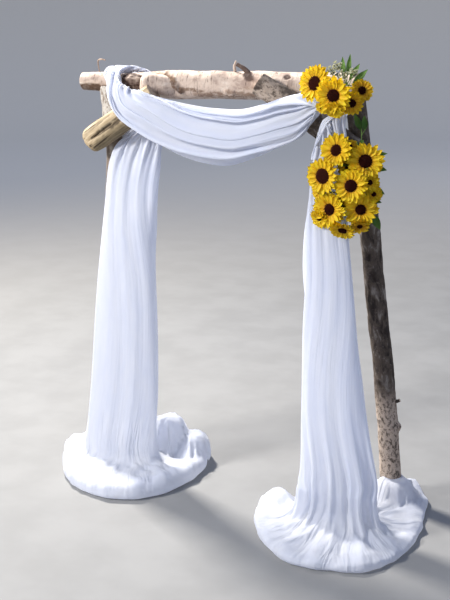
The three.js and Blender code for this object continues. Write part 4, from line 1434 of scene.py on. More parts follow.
@dataclass
class Whorl:
    """Copies of one mesh round an axis, the first ones innermost, made by Geometry Nodes."""

    name: str
    count: int
    turn: float  # degrees from one copy to the next
    inner: float  # radii in metres
    outer: float
    dome: float = 0.0  # how much higher the middle stands than the outer radius
    tilt_inner: float = 0.0  # degrees that a copy rises from the flat, innermost and outermost
    tilt_outer: float = 0.0
    tilt_jitter: float = 0.0
    turn_jitter: float = 0.0
    size_inner: float = 1.0
    size_outer: float = 1.0
    size_jitter: float = 0.0
    seed: int = 0

    def inputs(self, material: Material) -> dict[str, Any]:
        """The tree's named inputs and their values.

        Args:
            material: The copies' material.

        Returns:
            Name to value, in the tree's order.
        """
        return {
            "Count": self.count, "Turn": math.radians(self.turn), "Inner Radius": self.inner,
            "Outer Radius": self.outer, "Dome Height": self.dome,
            "Inner Tilt": math.radians(self.tilt_inner), "Outer Tilt": math.radians(self.tilt_outer),
            "Tilt Jitter": math.radians(self.tilt_jitter), "Turn Jitter": math.radians(self.turn_jitter),
            "Inner Size": self.size_inner, "Outer Size": self.size_outer,
            "Size Jitter": self.size_jitter, "Seed": self.seed, "Material": material,
        }

    @staticmethod
    def nodes(g: Graph, given: Any) -> Socket:
        """Adds the nodes that set the copies round the axis.

        Args:
            g: The tree.
            given: Its inputs.

        Returns:
            The copies, as instances with a "tint" of one random number each.
        """
        index = g.add("GeometryNodeInputIndex").outputs[0]
        last = g.math("MAXIMUM", g.less(given["Count"], 1.0), 1.0)
        share = g.math("DIVIDE", index, last)

        def jitter(kind: str, offset: float) -> Socket:
            """A random number of either sign, up to one of the jitter inputs.

            Args:
                kind: First word of the input's name.
                offset: Added to the seed.

            Returns:
                The number.
            """
            seed = g.plus(given["Seed"], offset)
            node = g.add("FunctionNodeRandomValue", {2: -1.0, 3: 1.0, "ID": index, "Seed": seed})
            return g.times(node.outputs[1], given[kind + " Jitter"])

        def between(kind: str, place: Socket) -> Socket:
            """The value at a place from 0 to 1 between the inner and the outer input of a kind."""
            wide = g.less(given["Outer " + kind], given["Inner " + kind])
            return g.plus(given["Inner " + kind], g.times(wide, place))

        radius = between("Radius", g.math("SQRT", share))
        angle = g.plus(g.times(index, given["Turn"]), jitter("Turn", 0.0))
        tilt = g.plus(between("Tilt", share), jitter("Tilt", 1.0))
        size = g.plus(between("Size", share), jitter("Size", 2.0))
        relative = g.math("DIVIDE", radius, g.math("MAXIMUM", given["Outer Radius"], 1e-6))
        height = g.times(given["Dome Height"], g.less(1.0, g.times(relative, relative)))
        place = g.add("ShaderNodeCombineXYZ", {
            0: g.times(radius, g.math("COSINE", angle)),
            1: g.times(radius, g.math("SINE", angle)), 2: height}).outputs[0]
        line = g.add("GeometryNodeMeshLine", {"Count": given["Count"]}).outputs[0]
        points = g.add("GeometryNodeSetPosition", {"Geometry": line, "Position": place}).outputs[0]
        turn = g.add("ShaderNodeCombineXYZ", {1: g.times(tilt, -1.0), 2: angle}).outputs[0]
        rotation = g.add("FunctionNodeEulerToRotation", {0: turn}).outputs[0]
        copies = g.add("GeometryNodeInstanceOnPoints", {
            "Points": points, "Instance": given["Geometry"], "Rotation": rotation, "Scale": size}).outputs[0]
        tint = g.add("FunctionNodeRandomValue", {2: 0.0, 3: 1.0, "Seed": g.plus(given["Seed"], 3.0)})
        return g.add("GeometryNodeStoreNamedAttribute", {
            "Geometry": copies, "Name": "tint", "Value": tint.outputs[1]},
            data_type="FLOAT", domain="INSTANCE").outputs[0]

    def shape(self, copy: Shape, material: Material) -> Shape:
        """The whorl of copies.

        Args:
            copy: The mesh to repeat, its foot at the origin and its length along +X.
            material: Set by the tree.

        Returns:
            The realized copies, with a "tint" map of one random number a copy.
        """
        source = make_object(self.name, copy, [])
        grown(source, "whorl", self.inputs(material), self.nodes)
        mesh = source.data

        points, blade, tint = (np.zeros(len(mesh.vertices) * wide, np.float32) for wide in (3, 3, 1))
        mesh.vertices.foreach_get("co", points)
        mesh.attributes["blade"].data.foreach_get("vector", blade)
        mesh.attributes["tint"].data.foreach_get("value", tint)
        made = Shape(points.reshape(-1, 3).astype(float), [tuple(p.vertices) for p in mesh.polygons],
                     {"tint": tint.astype(float)}, {"blade": blade.reshape(-1, 3).astype(float)})
        bpy.data.objects.remove(source)
        bpy.data.meshes.remove(mesh)
        return made


@dataclass(frozen=True)
class Blade:
    """A petal or a leaf: a thin closed blade from its foot at the origin along +X, facing +Z."""

    length: float
    width: float
    outline: Sequence[tuple[float, float]]  # place along the blade and share of the width
    cup: float = 0.15  # how far the edges rise, as a share of the width
    bend: float = 0.0  # how far the tip rises, as a share of the length
    crease: float = 0.04  # depth of the fold along the middle, as a share of the width
    ruffle: float = 0.0  # waves of the edge, as a share of the width
    thickness: float = 0.0007
    rows: int = 9
    columns: int = 5
    seed: int = 0

    def shape(self, tint: float = 0.5) -> Shape:
        """The blade; its "blade" map has the place along it, across it and the side.

        Args:
            tint: Value of its "tint" map.

        Returns:
            The closed shape.
        """
        t = np.linspace(0, 1, self.rows)
        s = np.linspace(-1, 1, self.columns)
        half = np.interp(t, *np.array(self.outline).T) * self.width / 2
        tt, ss = np.meshgrid(t, s, indexing="ij")
        wide = ss * half[:, None]
        wave = np.sin(tt * 17 + self.seed) * ss * np.abs(ss) * self.ruffle * self.width
        rise = self.cup * self.width * ss**2 * np.sin(math.pi * np.clip(tt, 0, 1)) ** 0.5
        arch = np.sin(math.pi * tt)
        groove = self.crease * self.width * np.exp(-(ss / 0.3) ** 2)
        rise = rise + self.bend * self.length * tt**2 - groove * arch + wave * arch
        thick = self.thickness * (1 - 0.85 * np.abs(ss) ** 4) * (1 - 0.7 * tt) / 2
        top = np.stack([tt * self.length, wide, rise + thick], axis=-1).reshape(-1, 3)
        low = np.stack([tt * self.length, wide, rise - thick], axis=-1).reshape(-1, 3)
        count = len(top)
        faces = grid_faces(self.rows, self.columns, False)
        under = [tuple(i + count for i in face[::-1]) for face in faces]
        rim = [(0, c) for c in range(self.columns)] + [(r, self.columns - 1) for r in range(1, self.rows)]
        rim += [(self.rows - 1, c) for c in range(self.columns - 2, -1, -1)]
        rim += [(r, 0) for r in range(self.rows - 2, 0, -1)]
        ring = [r * self.columns + c for r, c in rim]
        side = [(a + count, b + count, b, a) for a, b in zip(ring, ring[1:] + ring[:1])]
        maps = np.stack([tt, ss, np.ones_like(tt)], axis=-1).reshape(-1, 3)
        blade = np.vstack([maps, maps * (1, 1, -1)])
        return Shape(np.vstack([top, low]), faces + under + side,
                     {"tint": np.full(2 * count, tint)}, {"blade": blade})


def tube(line: Sequence[Triple], start: float, end: float, sides: int = 8, step: float = 6.0,
         tint: float = 0.5) -> Shape:
    """A round stem along a smooth line.

    Args:
        line: Points in millimetres.
        start: Radius at the first point, in millimetres.
        end: Radius at the last.
        sides: Sides of its section.
        step: Millimetres between rings.
        tint: Value of its "tint" map.

    Returns:
        The closed tube, in metres.
    """
    route = Spline(line)
    rings = max(int(route.length(np.linspace(0, 1, 200)) / step), 3)
    t = route.evenly(rings + 1, 400)
    centre = route.at(t)
    tangent = route.heading(t)
    side = unit(np.cross(tangent[0], (0.31, 0.52, 0.79)))
    points = []
    for i in range(rings + 1):
        side = unit(side - tangent[i] * (side @ tangent[i]))
        over = np.cross(tangent[i], side)
        angle = np.linspace(0, 2 * math.pi, sides, endpoint=False)
        radius = start + (end - start) * i / rings
        points.append(centre[i] + radius * (np.cos(angle)[:, None] * side + np.sin(angle)[:, None] * over))
    body = np.vstack([*points, centre[:1], centre[-1:]]) * MM
    faces = [face[::-1] for face in grid_faces(rings + 1, sides, True)]
    first, last = len(body) - 2, len(body) - 1
    for c in range(sides):
        d = (c + 1) % sides
        faces.append((d, c, first))
        faces.append((rings * sides + c, rings * sides + d, last))
    along = np.append(np.repeat(t, sides), [0, 1])
    blade = np.column_stack([along, np.zeros(len(along)), np.ones(len(along))])
    return Shape(body, faces, {"tint": np.full(len(body), tint)}, {"blade": blade})


def dome(radius: float, height: float, below: float) -> Shape:
    """A low closed dome round +Z, with a rounded cup below it.

    Args:
        radius: Its radius, in metres.
        height: How high its middle stands.
        below: How deep the cup under it is.

    Returns:
        The closed dome.
    """
    sides, rings = 24, 5
    quarter = np.linspace(0, math.pi / 2, rings + 1)[1:]
    profile = [(radius * math.sin(a), height * math.cos(a)) for a in quarter]
    profile += [(radius * math.cos(a), -below * math.sin(a)) for a in quarter[:-1]]
    angle = np.linspace(0, 2 * math.pi, sides, endpoint=False)
    points = [np.column_stack([r * np.cos(angle), r * np.sin(angle), np.full(sides, z)]) for r, z in profile]
    body = np.vstack([*points, [(0, 0, height)], [(0, 0, -below)]])
    faces = grid_faces(len(profile), sides, True)
    top, low = len(body) - 2, len(body) - 1
    last = (len(profile) - 1) * sides
    for c in range(sides):
        d = (c + 1) % sides
        faces.append((c, d, top))
        faces.append((last + d, last + c, low))
    blade = np.column_stack([np.full(len(body), 0.5), np.zeros(len(body)), np.ones(len(body))])
    return Shape(body, faces, {"tint": np.full(len(body), 0.5)}, {"blade": blade})


# Flowers

@dataclass(frozen=True)
class PetalFinish:
    """A petal or leaf coloured along its length, with fine streaks and a little light through it."""

    name: str
    foot: Colour
    middle: Colour
    tip: Colour
    variety: Colour  # colour that some of the blades lean to
    veins: float  # strength of the side veins
    glow: float = 0.25
    roughness: float = 0.55

    def material(self) -> Material:
        """The blade's material."""
        return lit_through(self.name, self.dress, self.glow, self.tip)

    def dress(self, g: Graph) -> dict[str, Any]:
        """Adds the blade's colours and veins.

        Args:
            g: The material's tree.

        Returns:
            The shader's inputs.
        """
        blade = g.map("blade", "Vector")
        tint = g.map("tint")
        split = g.add("ShaderNodeSeparateXYZ", {0: blade})
        along, across = split.outputs[0], g.math("ABSOLUTE", split.outputs[1])
        colour = g.blend(g.step(along, 0.02, 0.38), self.foot, self.middle)
        colour = g.blend(g.step(along, 0.45, 1.0), colour, self.tip)
        colour = g.blend(g.times(tint, 0.75), colour, self.variety)
        where = g.place()
        mottle = g.noise(where, 60, 3)
        streak = g.noise(g.scaled(blade, (1.5, 16, 1)), 1.0, 3, 0.6)
        slant = g.less(g.times(along, 9.0), g.times(across, 3.4))
        vein = g.less(1.0, g.math("ABSOLUTE", g.math("SINE", g.times(slant, math.pi))))
        vein = g.times(g.step(vein, 0.7, 1.0), self.veins)
        middle = g.times(g.step(across, 0.10, 0.02), self.veins)
        vein = g.math("MAXIMUM", vein, middle)
        colour = g.blend(g.times(vein, 0.4), colour, self.tip)
        colour = g.blend(g.step(mottle, 0.35, 0.7, 0.25, 0.0), colour, self.foot)
        relief = g.plus(g.times(streak, 0.6), g.times(vein, 0.8))
        return {
            "Base Color": colour,
            "Roughness": self.roughness,
            "Specular IOR Level": 0.35,
            "Normal": g.bump(relief, 0.0012, 0.8),
        }


@dataclass(frozen=True)
class GrainFinish:
    """A small-scale mottled surface, for discs, stems and wire."""

    name: str
    dark: Colour
    light: Colour
    scale: float
    roughness: float
    metallic: float = 0.0
    relief: float = 0.0008

    def material(self) -> Material:
        """The mottled material."""
        return surface(self.name, self.dress)

    def dress(self, g: Graph) -> dict[str, Any]:
        """Adds the mottling.

        Args:
            g: The material's tree.

        Returns:
            The shader's inputs.
        """
        where = g.place()
        tint = g.map("tint")
        mottle = g.noise(where, self.scale, 4, 0.6)
        share = g.times(g.plus(tint, g.step(mottle, 0.35, 0.65)), 0.5)
        return {
            "Base Color": g.blend(share, self.dark, self.light),
            "Roughness": self.roughness,
            "Specular IOR Level": 0.2,
            "Metallic": self.metallic,
            "Normal": g.bump(mottle, self.relief, 0.7),
        }


@dataclass(frozen=True)
class Bloom:
    """Where a sunflower is and how it faces, in millimetres."""

    node: str
    at: Triple
    radius: float
    facing: Triple
    via: Triple
    root: Triple
    disc: float = 0.38  # the disc's radius as a share of the head's
    reddish: bool = False  # at the foot of its petals


BLOOMS = [
    Bloom("corner_sunflower_1", (-368, -254, 2006), 84, (-0.35, -1, 0.25),
          (-345, -230, 1992), (-322, -222, 1980)),
    Bloom("corner_sunflower_2", (-272, -300, 1960), 82, (0, -1, -0.05),
          (-270, -252, 1958), (-268, -226, 1957), 0.34),
    Bloom("corner_sunflower_3", (-200, -264, 1927), 54, (0.35, -1, -0.3),
          (-208, -240, 1940), (-214, -222, 1948), 0.32, True),
    Bloom("corner_sunflower_4", (-167, -221, 1978), 52, (0.6, -1, 0.3),
          (-180, -206, 1962), (-180, -212, 1948), 0.32, True),
    Bloom("post_sunflower_1", (-262, -266, 1724), 78, (-0.25, -1, 0.2),
          (-208, -232, 1722), (-196, -162, 1726), 0.33),
    Bloom("post_sunflower_2", (-136, -246, 1680), 84, (0.35, -1, 0.1),
          (-160, -206, 1682), (-190, -162, 1690), 0.36),
    Bloom("post_sunflower_3", (-314, -286, 1612), 84, (-0.35, -1, 0),
          (-200, -246, 1612), (-188, -148, 1606), 0.42),
    Bloom("post_sunflower_4", (-184, -298, 1578), 78, (0.05, -1, 0),
          (-184, -220, 1572), (-185, -136, 1566), 0.36),
    Bloom("post_sunflower_5", (-281, -278, 1465), 84, (-0.3, -1, -0.05),
          (-192, -252, 1478), (-179, -98, 1486), 0.31),
    Bloom("post_sunflower_6", (-145, -266, 1471), 78, (0.3, -1, -0.05),
          (-162, -180, 1460), (-174, -80, 1446), 0.30),
    Bloom("post_sunflower_7", (-214, -302, 1382), 60, (-0.05, -1, -1),
          (-186, -262, 1396), (-166, -60, 1376), 0.30),
]
SMALL_BLOOMS = [
    Bloom("small_bloom_1", (-206, -236, 1738), 34, (0.1, -1, 0.6),
          (-200, -210, 1722), (-194, -162, 1706), 0.2, True),
    Bloom("small_bloom_2", (-212, -244, 1652), 48, (0, -1, 0.1),
          (-200, -210, 1650), (-188, -156, 1640), 0.22),
    Bloom("small_bloom_3", (-216, -246, 1506), 42, (0, -1, -0.1),
          (-196, -200, 1510), (-180, -104, 1500), 0.24, True),
    Bloom("small_bloom_4", (-114, -238, 1588), 46, (0.4, -1, 0.1),
          (-140, -200, 1580), (-182, -130, 1560), 0.2),
    Bloom("small_bloom_5", (-98, -228, 1536), 40, (0.5, -1, 0),
          (-130, -180, 1530), (-178, -110, 1510), 0.2),
    Bloom("small_bloom_6", (-330, -262, 1418), 48, (-0.4, -1, -0.5),
          (-250, -240, 1420), (-172, -76, 1420), 0.2),
    Bloom("small_bloom_7", (-146, -266, 1398), 44, (0.3, -1, -0.8),
          (-160, -180, 1404), (-168, -66, 1404), 0.22, True),
    Bloom("small_bloom_9", (-334, -254, 1538), 42, (-0.4, -1, 0),
          (-260, -224, 1534), (-186, -128, 1548), 0.2),
    Bloom("small_bloom_10", (-222, -252, 1524), 40, (0, -1, 0.2),
          (-200, -200, 1528), (-182, -112, 1524), 0.24, True),
    Bloom("small_bloom_11", (-266, -294, 1898), 44, (0, -1, -0.8),
          (-266, -262, 1928), (-268, -226, 1956), 0.16),
    Bloom("small_bloom_8", (-322, -286, 1906), 34, (-0.3, -1, -0.8),
          (-290, -252, 1930), (-276, -226, 1956), 0.2),
]

# rows of rays from the back: their number, tilt in degrees, and shares of the disc's radius and the length
RAY_ROWS = [(20, 1.0, 1.0, 1.0), (18, 11.0, 1.0, 0.95), (14, 22.0, 0.97, 0.84)]
PETAL_OUTLINE = [(0, 0.34), (0.15, 0.62), (0.4, 0.96), (0.6, 1.0), (0.8, 0.74), (0.93, 0.36), (1, 0.05)]
BRACT_OUTLINE = [(0, 0.8), (0.3, 1.0), (0.6, 0.7), (0.85, 0.3), (1, 0.03)]
LEAF_OUTLINE = [(0, 0.10), (0.12, 0.45), (0.3, 0.9), (0.45, 1.0), (0.65, 0.82), (0.85, 0.42), (1, 0.03)]
GOLDEN_TURN = 137.508  # degrees between neighbours in a spiral head


@dataclass
class Sunflower:
    """One sunflower: rows of rays, a dark disc of florets, a green calyx and a stem."""

    bloom: Bloom
    seed: int
    stem_radius: float = 3.5  # millimetres
    neck: float = 20.0  # millimetres from the head's middle back to the stem
    petal_width: float = 0.0240  # metres, at most
    disc_height: float = 0.0075
    disc_depth: float = 0.006
    calyx_depth: float = 0.021
    floret_count: int = 200
    spin: float = 0.77  # radians from one flower's head to the next one's

    def build(self, petal: Material, disc: Material, green: Material) -> Piece:
        """Makes the flower.

        Args:
            petal: Material of the rays.
            disc: Material of the florets.
            green: Material of the calyx and the stem.

        Returns:
            The piece, in place of its node where the solid model has one.
        """
        radius = self.bloom.radius * MM
        eye = radius * self.bloom.disc
        parts = [(self.rays(eye, radius - eye, row, petal), 0) for row in range(len(RAY_ROWS))]
        parts.append((dome(eye, self.disc_height, self.disc_depth), 1))
        parts.append((self.florets(eye, disc), 1))
        parts.append((self.bracts(eye, radius - eye, green), 2))
        calyx = dome(eye * 1.12, 0.001, self.calyx_depth)
        parts.append((calyx.moved(Matrix.Translation((0, 0, -0.004))), 2))
        turn = Vector((0, 0, 1)).rotation_difference(Vector(self.bloom.facing).normalized())
        spin = Matrix.Rotation(self.seed * self.spin, 4, "Z")
        place = Matrix.Translation(Vector(self.bloom.at) * MM) @ turn.to_matrix().to_4x4() @ spin
        shapes = [(shape.moved(place), slot) for shape, slot in parts]
        neck = Vector(self.bloom.at) - Vector(self.bloom.facing).normalized() * self.neck
        line = [tuple(neck), self.bloom.via, self.bloom.root]
        shapes.append((tube(line, self.stem_radius, self.stem_radius * 0.85), 2))
        name = self.bloom.node.replace("sunflower", "flower")
        nodes = [] if self.bloom in SMALL_BLOOMS else [self.bloom.node]
        head = make_object(name, slotted(shapes), [petal, disc, green])
        return finish_piece(head, "petal_yellow", *nodes)

    def rays(self, eye: float, reach: float, row: int, petal: Material) -> Shape:
        """One row of rays: long pointed petals, grooved, with their feet under the disc's rim.

        Args:
            eye: Radius of the disc, in metres.
            reach: From the disc's rim to the head's, in metres.
            row: The row's number, from the back.
            petal: Material of the rays.

        Returns:
            The row.
        """
        count, tilt, inner, share = RAY_ROWS[row]
        long = reach * share * 1.08
        foot = eye * inner * 0.86
        ray = Blade(long, min(self.petal_width, long * 0.48), PETAL_OUTLINE, cup=0.16,
                    bend=0.05 - 0.05 * (row + 1), crease=0.10, ruffle=0.03, rows=7,
                    seed=self.seed + row + 1).shape()
        return Whorl("rays", count, 360 / count + 0.9, foot, foot, tilt_inner=tilt, tilt_outer=tilt,
                     tilt_jitter=8.0, turn_jitter=7.0, size_jitter=0.08,
                     seed=self.seed * 31 + row).shape(ray, petal)

    def florets(self, eye: float, disc: Material) -> Shape:
        """The disc's florets, short spikes in the spirals that a golden turn gives.

        Args:
            eye: Radius of the disc, in metres.
            disc: Material of the florets.

        Returns:
            The florets.
        """
        spike = tube([(0, 0, 0), (4.6, 0, 0.2)], 1.8, 0.7, sides=4, step=9.0)
        return Whorl("florets", self.floret_count, GOLDEN_TURN, 0.001, eye * 0.98, self.disc_height,
                     tilt_inner=88, tilt_outer=58, tilt_jitter=10, turn_jitter=6, size_inner=0.7,
                     size_outer=1.15, size_jitter=0.2, seed=self.seed * 31 + 7).shape(spike, disc)

    def bracts(self, eye: float, reach: float, green: Material) -> Shape:
        """The pointed green bracts behind the rays, bent back, in a turn that goes round twice.

        Args:
            eye: Radius of the disc, in metres.
            reach: From the disc's rim to the head's, in metres.
            green: Material of the bracts.

        Returns:
            The bracts.
        """
        blade = Blade(reach * 0.72, 0.013, BRACT_OUTLINE, cup=0.2, bend=-0.12, crease=0.08, rows=6)
        bract = blade.shape().moved(Matrix.Translation((0, 0, -0.005)))
        return Whorl("bracts", 15, 360 / 15 * 2 + 1.2, eye * 0.75, eye * 0.95, tilt_inner=-14,
                     tilt_outer=-2, tilt_jitter=10, turn_jitter=8, size_jitter=0.15,
                     seed=self.seed * 31 + 11).shape(bract, green)


@dataclass(frozen=True)
class Leaf:
    """A leaf with its foot, its tip, its width and the way its face looks, in millimetres."""

    foot: Triple
    tip: Triple
    width: float
    face: Triple = (0, -1, 0)
    tint: float = 0.4
    bend: float = 0.10

    def shape(self, seed: int) -> Shape:
        """The leaf in its place.

        Args:
            seed: Chooses the waves of its edge.

        Returns:
            The closed blade.
        """
        foot = Vector(self.foot) * MM
        along = Vector(self.tip) * MM - foot
        x = along.normalized()
        side = Vector(self.face).cross(x).normalized()
        up = x.cross(side).normalized()
        turn = Matrix((x, side, up)).transposed().to_4x4()
        blade = Blade(along.length, self.width * MM, LEAF_OUTLINE, cup=0.14, bend=self.bend, crease=0.07,
                      ruffle=0.07, thickness=0.0009, rows=13, columns=7, seed=seed).shape(self.tint)
        tilt = Matrix.Rotation(math.atan(self.bend), 4, "Y")
        return blade.moved(Matrix.Translation(foot) @ turn @ tilt)


CORNER_LEAVES = [
    Leaf((-252, -206, 2026), (-262, -196, 2118), 24, (0, -1, 0), 0.9),
    Leaf((-236, -208, 2034), (-226, -206, 2130), 22, (0.4, -1, 0), 1.0),
    Leaf((-228, -206, 2018), (-182, -214, 2090), 26, (0.2, -1, 0.3), 0.8),
    Leaf((-214, -206, 2000), (-150, -196, 2066), 30, (0.1, -1, 0.4), 0.7),
]
CORNER_LEAF_STEMS = [
    [(-256, -221, 1962), (-248, -209, 1980), (-240, -207, 2000)],
    [(-240, -207, 2000), (-250, -203, 2024), (-255, -199, 2060)],
    [(-240, -207, 2000), (-236, -208, 2036), (-232, -207, 2070)],
    [(-240, -207, 2000), (-224, -207, 2022), (-208, -209, 2048)],
    [(-240, -207, 2000), (-216, -206, 1998), (-194, -203, 2020)],
]
POST_LEAVES = [
    Leaf((-166, -150, 1800), (-174, -128, 1864), 30, (0.3, -1, 0), 0.0),
    Leaf((-180, -150, 1800), (-214, -146, 1874), 30, (0, -1, 0), 0.0),
    Leaf((-146, -162, 1694), (-58, -160, 1706), 30, (0, -1, 0.5), 0.2),
    Leaf((-142, -162, 1650), (-60, -150, 1632), 34, (0.2, -1, 0.2), 0.1),
    Leaf((-140, -122, 1560), (-72, -120, 1520), 34, (0.3, -1, 0), 0.3),
    Leaf((-132, -84, 1420), (-92, -86, 1352), 38, (0.3, -1, 0), 0.2),
]
POST_LEAF_STEMS = [
    [(-178, -152, 1812), (-175, -160, 1740), (-171, -160, 1660), (-166, -140, 1570), (-156, -88, 1462),
     (-148, -72, 1410)],
    [(-177, -156, 1780), (-166, -150, 1800), (-156, -144, 1816)],
    [(-177, -156, 1780), (-180, -150, 1800), (-184, -145, 1820)],
    [(-174, -160, 1700), (-146, -161, 1694), (-122, -161, 1697)],
    [(-170, -159, 1655), (-142, -161, 1650), (-118, -158, 1645)],
    [(-166, -138, 1568), (-150, -128, 1562), (-120, -121, 1548)],
    [(-152, -78, 1432), (-138, -82, 1424), (-120, -84, 1400)],
    [(-190, -160, 1720), (-182, -160, 1722), (-173, -160, 1722)],
]
BETWEEN_LEAVES = [
    Leaf((-198, -214, 1668), (-238, -290, 1656), 26, (-0.3, -1, 0.4), 0.0),
    Leaf((-172, -206, 1742), (-142, -262, 1772), 26, (0.3, -1, 0.4), 0.1),
    Leaf((-160, -206, 1640), (-118, -272, 1650), 22, (0.2, -1, 0.5), 0.0),
    Leaf((-140, -196, 1612), (-78, -240, 1626), 28, (0.3, -1, 0.3), 0.1),
    Leaf((-130, -186, 1508), (-62, -226, 1500), 30, (0.3, -1, 0.2), 0.1),
    Leaf((-212, -226, 1556), (-250, -298, 1550), 22, (-0.2, -1, 0.4), 0.0),
    Leaf((-216, -224, 1500), (-232, -296, 1478), 20, (0, -1, 0.5), 0.0),
]
BETWEEN_LEAF_STEMS = [
    [(-192, -160, 1690), (-196, -190, 1676), (-204, -228, 1667)],
    [(-186, -160, 1700), (-180, -188, 1728), (-166, -216, 1748)],
    [(-188, -150, 1630), (-176, -184, 1634), (-152, -218, 1642)],
    [(-184, -130, 1590), (-160, -174, 1604), (-128, -204, 1615)],
    [(-178, -96, 1500), (-152, -150, 1506), (-118, -194, 1507)],
    [(-184, -124, 1560), (-200, -186, 1558), (-218, -238, 1555)],
    [(-180, -100, 1504), (-206, -180, 1504), (-218, -236, 1497)],
]
FILLER_STEMS = [
    [(-232, -219, 1957), (-226, -226, 1980), (-224, -230, 1996)],
    [(-224, -230, 1996), (-236, -234, 2022), (-246, -238, 2044)],
    [(-224, -230, 1996), (-212, -232, 2024), (-203, -236, 2054)],
    [(-224, -230, 1996), (-244, -228, 2034), (-276, -230, 2082)],
    [(-224, -230, 1996), (-262, -226, 2024), (-302, -226, 2060)],
]
HEADS_ROUND_TIP = [(0, 0, 0), (13, -3, 5), (-12, -2, -4), (3, 4, -13), (-6, -4, 11), (9, 2, -8)]
CORNER_BUNDLE = [(-345, -222, 1992), (-268, -224, 1957), (-170, -212, 1945)]
POST_BUNDLE = [(-198, -160, 1750), (-190, -160, 1660), (-186, -136, 1570), (-176, -86, 1458),
               (-167, -60, 1386), (-163, -58, 1345)]


